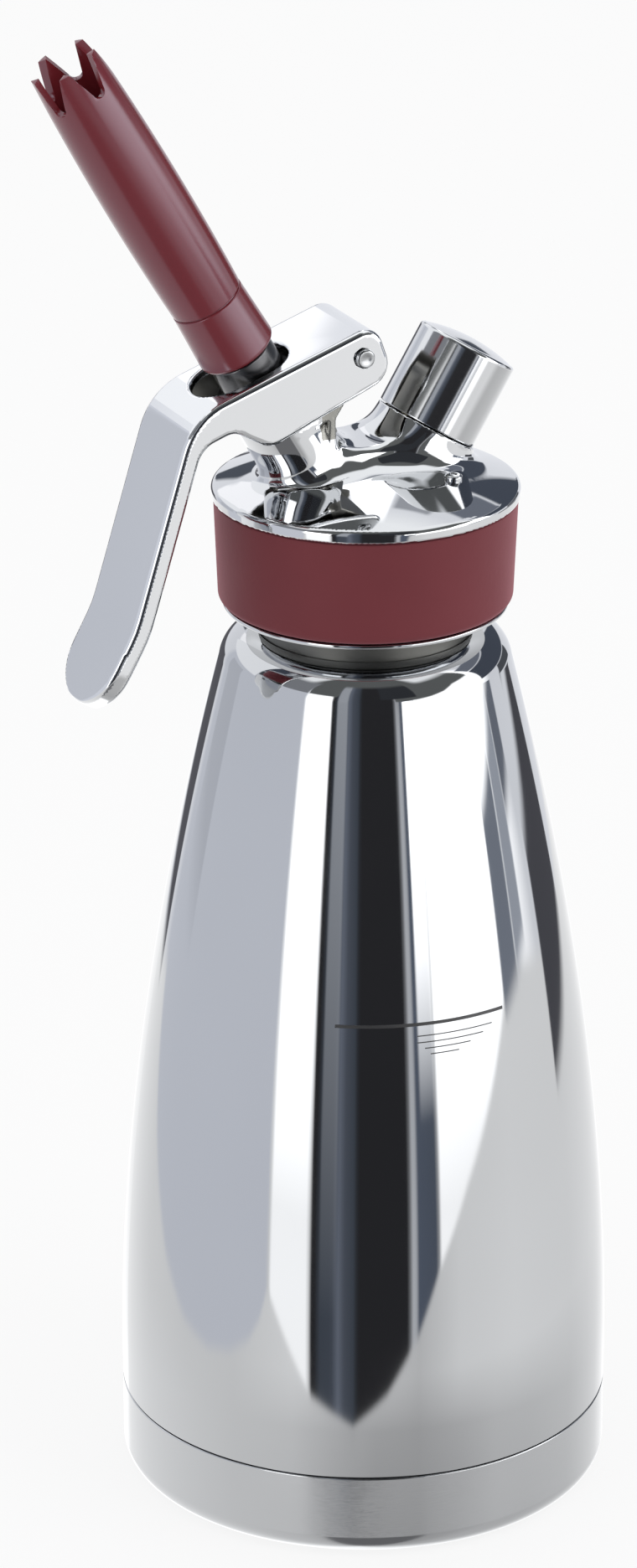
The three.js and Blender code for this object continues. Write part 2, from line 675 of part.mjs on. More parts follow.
function decoratorTip() {
  const teethFoot = tipEnd - toothDepth;
  const boreTop = tipEndRadius - tipWall;
  const boreFoot = tipSeamRadius - tipWall - tipSeamGroove;
  const footRing = tipFootRadius - tipFootRound;
  const belly = heightsBetween(tipSeam + tipSeamGroove, teethFoot, tipBellySteps).map((height, i) => {
    const share = i / tipBellySteps;
    const swell = tipBelly * (1 - (2 * share - 1) ** 2);
    return [tipSeamRadius + (tipEndRadius - tipSeamRadius) * share + swell, height];
  });
  const body = turned(
    [[tipSocketRadius, tipFoot], ...arc(tipFootRound, footRing, tipFoot + tipFootRound, -90, 0),
      [tipSeamRadius, tipSeam - tipSeamGroove], [tipSeamRadius - tipSeamGroove, tipSeam],
      ...belly, [tipEndRadius - toothLean, tipEnd], [boreTop - toothLean, tipEnd], [boreTop, teethFoot],
      [boreFoot, tipSeam + tipSeamGroove], [boreFoot, tipFoot + tipSocketDepth],
      [tipSocketRadius, tipFoot + tipSocketDepth]],
    tipSegments,
  );
  const halfGap = toothGapWidth / 2;
  const halfMouth = (Math.PI * tipEndRadius) / toothCount - toothTopWidth / 2;
  const flankSlope = (halfMouth - halfGap) / (toothDepth - halfGap);
  const notchTop = halfMouth + overrun * flankSlope;
  const notch = new THREE.Shape();
  notch.moveTo(notchTop, tipEnd + overrun);
  notch.lineTo(-notchTop, tipEnd + overrun);
  notch.lineTo(-halfGap, teethFoot + halfGap);
  notch.absarc(0, teethFoot + halfGap, halfGap, Math.PI, 2 * Math.PI);
  const options = { depth: tipFootRadius + overrun, bevelEnabled: false, curveSegments: curveSteps };
  const cut = solidOf(new THREE.ExtrudeGeometry(notch, options).rotateX(Math.PI / 2));
  return Array.from({ length: toothCount }, (_, i) => cut.rotate(0, 0, toothTurn + (360 * i) / toothCount))
    .reduce((tip, notchCut) => tip.subtract(notchCut), body);
}

const tipInsert = () =>
  ring(stemThreadRadius + clearance, tipSocketRadius - clearance, tipFoot + clearance,
    tipFoot + tipSocketDepth - clearance, stemSegments);

const channelPlugFoot = domeHeightAt(Math.hypot(channelPlugX, channelPlugY)) - channelPlugDepth;

function chargerSpigot() {
  const shoulder = chargerBossTop + clearance;
  const top = shoulder + spigotLength;
  const radius = capRadius - capWall - clearance;
  return turned(
    [[pinBore, chargerBossTop - spigotStub], [spigotStubRadius, chargerBossTop - spigotStub],
      [spigotStubRadius, shoulder], [radius, shoulder], [radius, top], [chargerBore, top],
      [chargerBore, boreFloor], [pinBore, boreFloor]],
    bossSegments,
  );
}

function piercingPin() {
  const foot = boreFloor - piercingPinShank;
  const top = boreFloor + piercingPinReach;
  return turned(
    [[0, foot], [piercingPinRadius, foot], [piercingPinRadius, top - piercingPinPoint], [0, top]],
    pinSegments,
  );
}

function chargerSeal() {
  const foot = boreFloor + clearance;
  return ring(chargerSealBore, chargerBore - clearance, foot, foot + chargerSealThickness, stemSegments);
}

function gasCheckValve() {
  const top = checkValveFoot + checkValveThickness;
  return ring(checkValveSlit, spigotStubRadius, checkValveFoot, top, stemSegments);
}

function chargerCap() {
  const foot = chargerBossTop + clearance;
  const bore = capRadius - capWall;
  const roof = foot + spigotLength + capHeadroom;
  const side = roof + capWall;
  const crownRadius = ((capRadius - capEdge) ** 2 + (capCrown - capEdge) ** 2) / (2 * (capCrown - capEdge));
  const crownCentre = side + capCrown - crownRadius;
  const crown = heightsBetween(capRadius - capEdge, 0, arcSteps)
    .map((radius) => [radius, crownCentre + Math.sqrt(crownRadius ** 2 - radius ** 2)]);
  return turned(
    [[bore, foot], [capRadius, foot], [capRadius, side], ...crown, [0, roof], [bore, roof]],
    bossSegments,
  );
}

function channelPlug() {
  const top = domeHeightAt(Math.hypot(channelPlugX, channelPlugY)) + channelPlugHead;
  return turned(
    [[0, channelPlugFoot], [channelPlugRadius, channelPlugFoot],
      [channelPlugRadius, top - channelPlugCrown], [channelPlugRadius - channelPlugCrown, top], [0, top]],
    pinSegments,
  ).translate(channelPlugX, channelPlugY, 0);
}

// Lever, drawn from its pin: -X along the top of the arm, +Z up from it
const leverFrame = new THREE.Matrix4()
  .makeTranslation(pin)
  .multiply(new THREE.Matrix4().makeRotationY(radians(-leverSlope)));
const handleFrame = new THREE.Matrix4()
  .makeTranslation(-armLength, 0, leverRise)
  .multiply(new THREE.Matrix4().makeRotationY(radians(-handleTurn)));
const toeFrame = handleFrame.clone()
  .multiply(new THREE.Matrix4().makeTranslation(-handleStraight, 0, 0))
  .multiply(new THREE.Matrix4().makeRotationY(radians(toeTurn)));

// Corners of [along the arm, up, radius] made into a closed outline with rounded corners
function roundedOutline(corners) {
  const point = ([along, up]) => new THREE.Vector2(-along, up);
  const points = corners.flatMap((corner, i) => {
    const here = point(corner);
    const radius = corner[2] ?? 0;
    if (radius === 0) return [here];
    const toBefore = point(corners.at(i - 1)).sub(here).normalize();
    const toAfter = point(corners[(i + 1) % corners.length]).sub(here).normalize();
    const halfAngle = Math.acos(toBefore.dot(toAfter)) / 2;
    const bisector = toBefore.clone().add(toAfter).normalize();
    const centre = here.clone().addScaledVector(bisector, radius / Math.sin(halfAngle));
    const start = here.clone().addScaledVector(toBefore, radius / Math.tan(halfAngle)).sub(centre);
    const end = here.clone().addScaledVector(toAfter, radius / Math.tan(halfAngle)).sub(centre);
    const sweep = Math.atan2(start.cross(end), start.dot(end));
    const steps = Math.max(arcSteps, Math.ceil(Math.abs(sweep) / radians(arcStepAngle)));
    return Array.from({ length: steps + 1 }, (_, step) =>
      start.clone().rotateAround(new THREE.Vector2(), (sweep * step) / steps).add(centre));
  });
  return new THREE.Shape(points);
}

// A point of the handle or of its toe, from the corner at the outer face, in the arm's frame
function onFace(frame, along, depth) {
  const point = new THREE.Vector3(-along, 0, -depth).applyMatrix4(frame);
  return [-point.x, point.z];
}

// Where the handle's inner face crosses the top of the arch
function innerCorner() {
  const [along, up] = onFace(handleFrame, 0, handleThickness);
  const drop = up + archDepth;
  return [along + drop / Math.tan(radians(handleTurn)), -archDepth];
}

function lever() {
  const toeCorner = handleStraight + handleThickness * Math.tan(radians(toeTurn) / 2);
  const outline = roundedOutline([
    [-leverBack, leverRise, leverTopRound],
    [-leverBack, -cheekBackDepth, leverBack],
    [armLength - cheekSetback, -cheekFrontDepth, cheekRound],
    [armLength - archSetback, -archDepth, archRound],
    [...innerCorner(), innerBendRadius],
    [...onFace(handleFrame, toeCorner, handleThickness), toeBendRadius + handleThickness],
    [...onFace(toeFrame, toeLength, handleThickness), toeEndRound],
    [...onFace(toeFrame, toeLength, 0), toeEndRound],
    [...onFace(handleFrame, handleStraight, 0), toeBendRadius],
    [armLength, leverRise, bendRadius],
  ]);
  const channel = roundedOutline([
    [-leverBack - overrun, channelTop],
    [-leverBack - overrun, -cheekFrontDepth - overrun],
    [armLength - channelFootSetback, -cheekFrontDepth - overrun],
    [armLength - channelFootSetback, -archDepth],
    [armLength - channelSetback, channelTop, channelRound],
  ]);
  return plate(outline, leverHalfWidth)
    .subtract(plate(channel, leverHalfWidth - leverWall))
    .subtract(leverPinHole())
    .subtract(stemHole())
    .subtract(placed(toeEnd(), toeFrame));
}

// The hole for the lever's pin, across the lever and the lug
function leverPinHole() {
  const reach = leverHalfWidth + overrun;
  return rod(pinRadius + clearance, -reach, reach, pinSegments).rotate(90, 0, 0);
}

// The slot in the arm's top, cut along the stem
function stemHole() {
  const hole = rod(stemHoleHalfWidth, collarTop - overrun, stemNeckTop + overrun, bossSegments);
  const slot = hole.warp((vertex) => {
    vertex[0] += Math.sign(vertex[0]) * stemHoleStretch - stemHoleShift;
  });
  return placed(slot, leverFrame.clone().invert().multiply(valveFrame));
}

// What is cut away beyond the round end of the toe
function toeEnd() {
  const centre = leverHalfWidth - toeLength;
  const far = -toeLength - overrun;
  const wide = leverHalfWidth + overrun;
  const shape = new THREE.Shape();
  shape.moveTo(centre, -wide);
  shape.lineTo(centre, -leverHalfWidth);
  shape.absarc(centre, 0, leverHalfWidth, -Math.PI / 2, Math.PI / 2, true);
  shape.lineTo(centre, wide);
  shape.lineTo(far, wide);
  shape.lineTo(far, -wide);
  const depth = handleThickness + 2 * overrun;
  const options = { depth, bevelEnabled: false, curveSegments: 2 * curveSteps };
  const cut = new THREE.ExtrudeGeometry(shape, options);
  return solidOf(cut.translate(0, 0, -handleThickness - overrun));
}

// Pin with a domed head at each end, outside the cheeks
function leverPin() {
  const face = leverHalfWidth + clearance;
  const head = (side) => [
    [pinRadius, side * face],
    [pinHeadRadius, side * face],
    [pinHeadRadius * pinCrownShare, side * (face + pinHeadHeight)],
  ];
  return turned(
    [[0, -face - pinHeadHeight], ...head(-1).reverse(), ...head(1), [0, face + pinHeadHeight]],
    pinSegments,
  ).rotate(90, 0, 0).translate(pin.x, 0, pin.z);
}

// Assembly
function frameGroup(matrix, meshes) {
  const group = new THREE.Group();
  matrix.decompose(group.position, group.quaternion, group.scale);
  group.add(...meshes);
  return group;
}

const { polishedSteel, satinSteel, turnedSteel, chrome, brass, springSteel } = materials;
const { burgundyPlastic, burgundySilicone, paleSilicone, blackRubber } = materials;

const flaskMeshes = [
  meshOf('outer_shell', outerShell(), polishedSteel),
  meshOf('base_cup', baseCup(), satinSteel),
  meshOf('inner_flask', innerFlask(), satinSteel),
  meshOf('neck_ring', neckRing(), satinSteel),
  meshOf('vacuum_plug', vacuumPlug(), turnedSteel),
  meshOf('getter_cup', getterCup(), turnedSteel),
];
const headMeshes = [
  meshOf('head_casting', headCasting(), chrome),
  meshOf('grip_band', gripBand(), burgundySilicone),
  meshOf('head_gasket', headGasket(), paleSilicone),
  meshOf('channel_plug', channelPlug(), turnedSteel),
  meshOf('lever_pin', leverPin(), turnedSteel),
];
const valveMeshes = [
  meshOf('valve_bush', valveBush(), turnedSteel),
  meshOf('stem_seal', stemSeal(), blackRubber),
  meshOf('seal_washer', sealWasher(), turnedSteel),
  meshOf('valve_spring', valveSpring(), springSteel),
  meshOf('valve_stem', valveStem(), turnedSteel),
  meshOf('valve_disc', valveDisc(), blackRubber),
  meshOf('disc_nut', discNut(), turnedSteel),
  meshOf('decorator_tip', decoratorTip(), burgundyPlastic),
  meshOf('tip_insert', tipInsert(), turnedSteel),
];
const chargerMeshes = [
  meshOf('charger_spigot', chargerSpigot(), brass),
  meshOf('piercing_pin', piercingPin(), turnedSteel),
  meshOf('charger_seal', chargerSeal(), blackRubber),
  meshOf('gas_check_valve', gasCheckValve(), paleSilicone),
  meshOf('charger_cap', chargerCap(), chrome),
];

const dispenser = new THREE.Group();
dispenser.add(
  ...flaskMeshes,
  ...headMeshes,
  frameGroup(valveFrame, valveMeshes),
  frameGroup(chargerFrame, chargerMeshes),
  frameGroup(leverFrame, [meshOf('lever', lever(), chrome)]),
);

export default dispenser;
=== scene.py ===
"""Looks of the whipped cream dispenser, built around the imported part.

Sizes are in millimetres in this file and become metres where a mesh is made.
"""
import math

import bmesh
import bpy
import numpy as np
from mathutils import Matrix, Vector


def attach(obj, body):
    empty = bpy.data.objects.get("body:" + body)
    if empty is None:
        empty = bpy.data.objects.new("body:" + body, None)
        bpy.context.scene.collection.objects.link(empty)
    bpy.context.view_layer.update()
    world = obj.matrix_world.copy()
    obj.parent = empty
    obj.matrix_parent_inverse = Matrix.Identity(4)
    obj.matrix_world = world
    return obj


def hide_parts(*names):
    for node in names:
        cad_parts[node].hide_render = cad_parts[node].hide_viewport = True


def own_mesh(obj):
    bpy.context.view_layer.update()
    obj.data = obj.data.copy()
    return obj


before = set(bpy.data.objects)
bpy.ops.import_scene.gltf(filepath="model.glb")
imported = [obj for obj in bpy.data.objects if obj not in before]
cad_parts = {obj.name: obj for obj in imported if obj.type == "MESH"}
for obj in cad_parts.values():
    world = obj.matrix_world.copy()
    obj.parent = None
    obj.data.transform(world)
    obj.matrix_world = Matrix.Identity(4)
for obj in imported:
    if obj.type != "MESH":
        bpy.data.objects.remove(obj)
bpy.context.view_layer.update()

METRES = 0.001
# Clearance between neighbouring pieces
GAP = 0.3
# Rounding of most turned edges
EDGE = 0.25

# Flask. Heights are above the floor, also in the head's list
BASE_RADIUS = 52.5
STRAIGHT_HEIGHT = 30
SHOULDER_HEIGHT = 189.8
SHOULDER_RADIUS = 29.6
SHOULDER_TOP = 192
SHOULDER_ROUND = 8
FLARE_POWER = 1.82
SHELL_WALL = 0.9
SEAM_HEIGHT = 18.9
BASE_ROUND = 4.9
BASE_FLOOR = 1.2
LIP_HEIGHT = 5
PLUG_RADIUS = 5
VACUUM_GAP = 7
FLASK_WALL = 1
FLASK_FLOOR = 20
FLASK_FLOOR_ROUND = 14
FLASK_SHOULDER = 184
MOUTH_HEIGHT = 214
MOUTH_RIM = 1.2
MOUTH_BORE = 19.2
NECK_RADIUS = 22.5
NECK_BORE = 20.5
NECK_TOP = 212.5
NECK_THREAD_FOOT, NECK_THREAD_TOP = 199.5, 211.5
GETTER_RADIUS = 7
GETTER_FOOT, GETTER_TOP = 17.3, 19.7
LEVEL_HEIGHT = 119.8
LEVEL_WIDTH = 0.7
RIPPLE_WIDTH = 0.22
ETCH_PROUD = 0.03
# Ripples under the level line: how far below it, turns from and to in degrees
RIPPLES = [(2.5, -12, 10), (3.9, -12, 7), (5.2, -10, 3.5), (6.5, -8.5, 0)]

# Head
SKIRT_HEIGHT = 197.4
SKIRT_RADIUS = 28.6
SKIRT_RING_RADIUS = 29.9
SKIRT_RING = 0.9
RIM_RADIUS = 32.1
RIM_HEIGHT = 223.7
RIM_FOOT = 221.0
RIM_ROUND = 0.8
RIM_FOOT_ROUND = 0.3
DOME_TOP = 229.5
ROOF_HEIGHT = 217.2
BAND_TOP_RADIUS = 31.64
BAND_FOOT_RADIUS = 30.8
BAND_ROUND = 1.6
BRIDGE_HEIGHT = 233.6
BRIDGE_HALF_WIDTH = 8
BRIDGE_FRONT = 13
BRIDGE_BACK = 14
BRIDGE_FOOT = 221.5
BRIDGE_ROUND = 1.2
BRIDGE_FILLET = 6
# Bore, radius, foot and top of the seal on the mouth
GASKET = (18.6, NECK_RADIUS, 214.3, 216.9)
LUG_HALF_WIDTH = 8
LUG_EYE_RADIUS = 3.4
LUG_FOOT = 221
LUG_BACK = (-10.6, 241)
LUG_ROUND = 0.6
LUG_FILLET = 2
# How far the lug's front stands out from the boss, and where on the valve's axis its arm and its
# post start
LUG_PROUD = 1.3
LUG_ARM_START, LUG_POST_START = 38.1, 23.5
# What the lever's cheeks hide of the lug: X from and to, and above which height
HIDDEN_X = (-14, 2.5)
HIDDEN_FOOT = 237
# Sphere that the dome is part of
DOME_EDGE = RIM_RADIUS - RIM_ROUND
DOME_RISE = DOME_TOP - RIM_HEIGHT
DOME_SPHERE = (DOME_EDGE**2 + DOME_RISE**2) / (2 * DOME_RISE)

# Valve and tip, along the valve's axis
VALVE_TILT = math.radians(30.3)
VALVE_CROSS = 206.2
BOSS_RADIUS = 8.8
BOSS_FOOT = 21
BOSS_TOP = 42.6
BOSS_ROUND = 0.5
BOSS_FILLET = 7
BORE_END_ROUND = 0.1
BORE_EDGE = 0.6
# How far a cut goes on outside the solid
CUT_BEYOND = 5
SPRING_BORE = 6.4
SPRING_FOOT = 25.3
STEM_FOOT = 8
STEM_RADIUS = 3.2
STEM_BORE = 1.9
STEM_THREAD_RADIUS = 4.4
STEM_THREAD_LENGTH = 12
STEM_NECK_RADIUS = 7
COLLAR_FOOT = 47.1
COLLAR_EDGE = 2.8
COLLAR_TOP = 50.5
TIP_FOOT = 57.6
TIP_SEAM = 71.6
TIP_END = 132.6
TIP_FOOT_RADIUS = 8.2
TIP_SEAM_RADIUS = 7.75
TIP_END_RADIUS = 7.6
TIP_BELLY = 0.55
TIP_WALL = 1.5
TIP_SOCKET_RADIUS = 6
TIP_SOCKET_DEPTH = 12.3
TOOTH_COUNT = 5
TOOTH_DEPTH = 7.8
TOOTH_TOP_WIDTH = 3
TOOTH_GAP_WIDTH = 2.9
TOOTH_LEAN = 0.45
TOOTH_TURN = math.radians(13)
TOOTH_ROUND = 0.22
SPRING_RADIUS = 5
SPRING_WIRE = 0.6
SPRING_TURNS = 6

# Charger side, along the charger's axis
CHARGER_TILT = math.radians(31.4)
CHARGER_CROSS = 211.5
CHARGER_BOSS_FOOT = 15
CHARGER_BOSS_TOP = 26.5
SOCKET_RADIUS = 6.3
SOCKET_FOOT = 16
SOCKET_EDGE = 0.3
CAP_RADIUS = 10.85
CAP_WALL = 1.55
CAP_TOP = 44.7
CAP_CROWN = 2
SPIGOT_TOP = 40.8
SPIGOT_RADIUS = CAP_RADIUS - CAP_WALL - GAP
SPIGOT_FOOT = CHARGER_BOSS_TOP + GAP
CHARGER_BORE = 4.8
BORE_FLOOR = 30.3
GAS_BORE = 1.7
# Bore, radius, foot and top of the two seals
CHARGER_SEAL = (2, 4.5, BORE_FLOOR + GAP, BORE_FLOOR + 2.1)
CHECK_VALVE = (0.6, 6, 15.2, 18.2)
PLUG_X, PLUG_Y = 12.2, -15.9
CHANNEL_PLUG_RADIUS = 1.9

# Lever, along its arm from the pin
PIN_X, PIN_Z = -5.877, 254.313
LEVER_SLOPE = math.radians(19.2)
HANDLE_TURN = math.radians(53.7)
LEVER_RISE = 5.45
LEVER_HALF_WIDTH = 11.1
LEVER_WALL = 1.6
LEVER_TOP_WALL = 1.9
ARM_LENGTH = 38.6
HANDLE_STRAIGHT = 46
TOE_LENGTH = 18.9
TOE_TURN = math.radians(12)
TOE_BEND = 25
HANDLE_THICKNESS = 4.2
LEVER_BACK = 5.1
ARCH_DEPTH = 1.8
CHANNEL_END = 34.4
LEVER_ROUND = 1.2
TOE_ROUND = 0.9
CHANNEL_ROUND = 0.8
CHANNEL_EDGE = 0.7
HOLE_HALF_WIDTH = 7.7
HOLE_STRETCH = 2.9
HOLE_SHIFT = 1.9
HOLE_FOOT = COLLAR_TOP - 6
HOLE_EDGE = 1.0
PIN_RADIUS = 1.5
PIN_HEAD_RADIUS = 2.1
PIN_HEAD_HEIGHT = 0.8
PIN_HOLE_EDGE = 0.3

IDENTITY = Matrix.Identity(4)
VALVE = Matrix.Translation((0, 0, VALVE_CROSS)) @ Matrix.Rotation(-VALVE_TILT, 4, "Y")
CHARGER = Matrix.Translation((0, 0, CHARGER_CROSS)) @ Matrix.Rotation(CHARGER_TILT, 4, "Y")
LEVER = Matrix.Translation((PIN_X, 0, PIN_Z)) @ Matrix.Rotation(-LEVER_SLOPE, 4, "Y")
HANDLE = Matrix.Translation((-ARM_LENGTH, 0, LEVER_RISE)) @ Matrix.Rotation(-HANDLE_TURN, 4, "Y")
PIN = Matrix.Translation((PIN_X, 0, PIN_Z)) @ Matrix.Rotation(math.pi / 2, 4, "X")


# Meshes
def placed(points, matrix):
    m = np.array(matrix)
    return points @ m[:3, :3].T + m[:3, 3]


def shade_smooth(mesh):
    mesh.polygons.foreach_set("use_smooth", [True] * len(mesh.polygons))


def mesh_object(name, points, faces, matrix=IDENTITY, sharp_angle=32):
    """A smooth-shaded mesh from points in millimetres. Edges over the sharp angle stay sharp."""
    corners = placed(np.asarray(points, float), matrix) * METRES
    mesh = bpy.data.meshes.new(name)
    mesh.from_pydata(corners.tolist(), [], [list(f) for f in faces])
    work = bmesh.new()
    work.from_mesh(mesh)
    bmesh.ops.recalc_face_normals(work, faces=work.faces)
    work.to_mesh(mesh)
    work.free()
    shade_smooth(mesh)
    mesh.set_sharp_from_angle(angle=math.radians(sharp_angle))
    piece = bpy.data.objects.new(name, mesh)
    bpy.context.scene.collection.objects.link(piece)
    return piece


def weighted(piece):
    """Flat faces keep their own normals next to narrow rounded edges."""
    modifier = piece.modifiers.new("normals", "WEIGHTED_NORMAL")
    modifier.keep_sharp = True
    modifier.weight = 80
    return piece


def ring_faces(rows, segments, closed):
    """Quads between rows of points round an axis. Closed rows join the last to the first."""
    faces = []
    for i in range(rows if closed else rows - 1):
        a, b = i * segments, ((i + 1) % rows) * segments
        for k in range(segments):
            n = (k + 1) % segments
            faces.append((a + k, a + n, b + n, b + k))
    return faces


def lathe(name, outline, segments, matrix=IDENTITY, cut=None):
    """A body turned about Z from (radius, height) points. An outline that starts and ends on the
    axis closes there, and any other is joined end to start. A thread's cut goes off the radius."""
    outline = [tuple(p) for p in outline]
    solid = outline[0][0] == 0 and outline[-1][0] == 0
    rows = outline[1:-1] if solid else outline
    turn = np.linspace(0, 2 * math.pi, segments, endpoint=False)
    points = []
    for radius, height in rows:
        r = np.full(segments, float(radius))
        if cut:
            r = r - cut(height, turn, radius)
        points.append(np.stack([r * np.cos(turn), r * np.sin(turn), np.full(segments, height)], 1))
    points = np.concatenate(points)
    faces = ring_faces(len(rows), segments, not solid)
    if solid:
        first, last = len(points), len(points) + 1
        points = np.concatenate([points, [[0, 0, outline[0][1]], [0, 0, outline[-1][1]]]])
        foot = (len(rows) - 1) * segments
        for k in range(segments):
            n = (k + 1) % segments
            faces.append((first, n, k))
            faces.append((last, foot + k, foot + n))
    return weighted(mesh_object(name, points, faces, matrix))


def arc(radius, centre_radius, centre_height, start, end, steps=8):
    """Points from the start to the end angle, in degrees from level."""
    angles = np.radians(np.linspace(start, end, steps + 1))
    return [
        (centre_radius + radius * math.cos(a), centre_height + radius * math.sin(a)) for a in angles
    ]


def foot_round(radius, foot, r, steps=4):
    """A rounded outer edge at a foot."""
    return arc(r, radius - r, foot + r, -90, 0, steps)


def top_round(radius, top, r, steps=4):
    """A rounded outer edge at a top."""
    return arc(r, radius - r, top - r, 0, 90, steps)


def corner_arc(here, u, v, radius, steps=None):
    """Points of the arc that rounds a corner, from the directions of its two sides. Without a
    number of steps there is one for every 6 degrees."""
    half = math.acos(np.clip(u @ v, -1, 1)) / 2
    reach = radius / math.tan(half)
    centre = here + (u + v) / np.linalg.norm(u + v) * radius / math.sin(half)
    start, end = here + u * reach - centre, here + v * reach - centre
    first = math.atan2(start[1], start[0])
    sweep = (math.atan2(end[1], end[0]) - first + math.pi) % (2 * math.pi) - math.pi
    steps = steps or max(2, math.ceil(abs(math.degrees(sweep)) / 6))
    angles = [first + sweep * k / steps for k in range(steps + 1)]
    return [centre + radius * np.array([math.cos(a), math.sin(a)]) for a in angles]


def softened(outline, radius, closed=True):
    """The outline with each clear corner rounded off by up to the given radius."""
    points = [np.array(p, float) for p in outline]
    made = []
    for i, here in enumerate(points):
        if not closed and i in (0, len(points) - 1) or here[0] == 0:
            made.append(here)
            continue
        before, after = points[i - 1] - here, points[(i + 1) % len(points)] - here
        lengths = np.linalg.norm(before), np.linalg.norm(after)
        u, v = before / lengths[0], after / lengths[1]
        half = math.acos(np.clip(u @ v, -1, 1)) / 2
        if half > math.radians(75):
            made.append(here)
            continue
        r = min(radius, 0.4 * min(lengths) * math.tan(half))
        made += corner_arc(here, u, v, r, 3)
    return made


def turned(name, outline, segments, matrix=IDENTITY, soften=0.15):
    """A turned piece with small rounded edges."""
    solid = outline[0][0] == 0
    return lathe(name, softened(outline, soften, not solid), segments, matrix)


def ring(name, bore, radius, foot, top, soften=0.15, matrix=IDENTITY, segments=64):
    outline = [(bore, foot), (radius, foot), (radius, top), (bore, top)]
    return turned(name, outline, segments, matrix, soften)


# Surfaces of blended solids, from a signed distance in millimetres
CELL = 0.55
FLAT_ANGLE = math.radians(0.4)


def cells_round(index, axis):
    """The four cells round each grid edge along the axis, in turning order."""
    found = []
    for du, dv in ((-1, -1), (0, -1), (0, 0), (-1, 0)):
        cell = index.copy()
        cell[:, (axis + 1) % 3] += du
        cell[:, (axis + 2) % 3] += dv
        found.append(tuple(cell.T))
    return found


def surface(name, distance, low, high, matrix=IDENTITY):
    """The zero surface of a signed distance: one point in each cell that it crosses, moved onto
    it, with the distance's own gradient as the normals."""
    axes = [np.arange(a, b + CELL, CELL) for a, b in zip(low, high)]
    grid = np.stack(np.meshgrid(*axes, indexing="ij"), -1)
    value = distance(grid.reshape(-1, 3)).reshape(grid.shape[:3])
    inside = value < 0
    total = np.zeros([n - 1 for n in inside.shape] + [3])
    count = np.zeros(total.shape[:3])
    crossings = []
    for axis in range(3):
        a = [slice(None)] * 3
        b = [slice(None)] * 3
        a[axis], b[axis] = slice(None, -1), slice(1, None)
        va, vb = value[tuple(a)], value[tuple(b)]
        crossed = (va < 0) != (vb < 0)
        share = va[crossed] / (va[crossed] - vb[crossed])
        place = grid[tuple(a)][crossed].copy()
        place[:, axis] += share * CELL
        cells = cells_round(np.argwhere(crossed), axis)
        crossings.append((cells, inside[tuple(a)][crossed]))
        for cell in cells:
            np.add.at(total, cell, place)
            np.add.at(count, cell, 1)
    used = count > 0
    number = np.full(count.shape, -1)
    number[used] = np.arange(used.sum())
    points = total[used] / count[used][:, None]
    faces = []
    for cells, first_inside in crossings:
        quads = np.stack([number[cell] for cell in cells], 1)
        quads[~first_inside] = quads[~first_inside][:, ::-1]
        faces.append(quads)
    faces = np.concatenate(faces)
    for _ in range(6):
        points = points - gradient(distance, points) * distance(points)[:, None]
    piece = mesh_object(name, points, faces.tolist(), sharp_angle=180)
    mesh = piece.data
    work = bmesh.new()
    work.from_mesh(mesh)
    bmesh.ops.dissolve_limit(
        work, angle_limit=FLAT_ANGLE, verts=work.verts, edges=work.edges
    )
    bmesh.ops.triangulate(work, faces=[f for f in work.faces if len(f.verts) > 4])
    work.to_mesh(mesh)
    work.free()
    here = np.array([v.co for v in mesh.vertices], float) / METRES
    corners = placed(here, matrix) * METRES
    mesh.vertices.foreach_set("co", corners.astype(np.float32).ravel())
    shade_smooth(mesh)
    mesh.update()
    normals = gradient(distance, here) @ np.array(matrix)[:3, :3].T
    mesh.normals_split_custom_set_from_vertices(normals.tolist())
    return piece


def gradient(distance, points):
    """Unit directions in which the distance grows fastest."""
    reach = 0.02
    slope = np.stack(
        [distance(points + reach * e) - distance(points - reach * e) for e in np.eye(3)], 1
    )
    return slope / np.maximum(np.linalg.norm(slope, axis=1), 1e-9)[:, None]


def blend_union(a, b, k):
    """The nearer of two distances, with a fillet of about k between the solids."""
    h = np.maximum(k - np.abs(a - b), 0) / k
    return np.minimum(a, b) - h * h * h * k / 6


def blend_cut(a, b, k):
    """Solid a with solid b cut away, its new edge rounded by about k."""
    return -blend_union(-a, b, k)


def rounded_both(a, b, r):
    """What is inside both, with the edge between them rounded by r."""
    q = np.stack([a + r, b + r], -1)
    outside = np.linalg.norm(np.maximum(q, 0), axis=-1)
    return outside + np.minimum(q.max(-1), 0) - r


def rod_distance(points, matrix, radius, foot, top, r):
    """Signed distance to a rod along the frame's Z, its ends rounded by r."""
    p = placed(points, matrix.inverted())
    radial = np.hypot(p[:, 0], p[:, 1]) - radius
    along = np.maximum(foot - p[:, 2], p[:, 2] - top)
    return rounded_both(radial, along, r)


def outline_distance(x, z, outline):
    """Signed distance in a plane to a closed outline."""
    a = np.asarray(outline, float)
    b = np.roll(a, -1, axis=0)
    best = np.full(x.shape, 1e9)
    odd = np.zeros(x.shape, bool)
    for (ax, az), (bx, bz) in zip(a, b):
        ex, ez = bx - ax, bz - az
        wx, wz = x - ax, z - az
        share = np.clip((wx * ex + wz * ez) / (ex * ex + ez * ez), 0, 1)
        best = np.minimum(best, (wx - share * ex) ** 2 + (wz - share * ez) ** 2)
        crosses = (az <= z) != (bz <= z)
        if bz != az:
            odd ^= crosses & (x < ax + (z - az) * ex / ez)
    return np.where(odd, -1, 1) * np.sqrt(best)


def plate_distance(points, outline, half_width, r):
    """Signed distance to an outline in X and Z drawn out to each side of Y = 0."""
    x, y, z = points.T
    flat = outline_distance(x, z, outline)
    return rounded_both(flat, np.abs(y) - half_width, r)


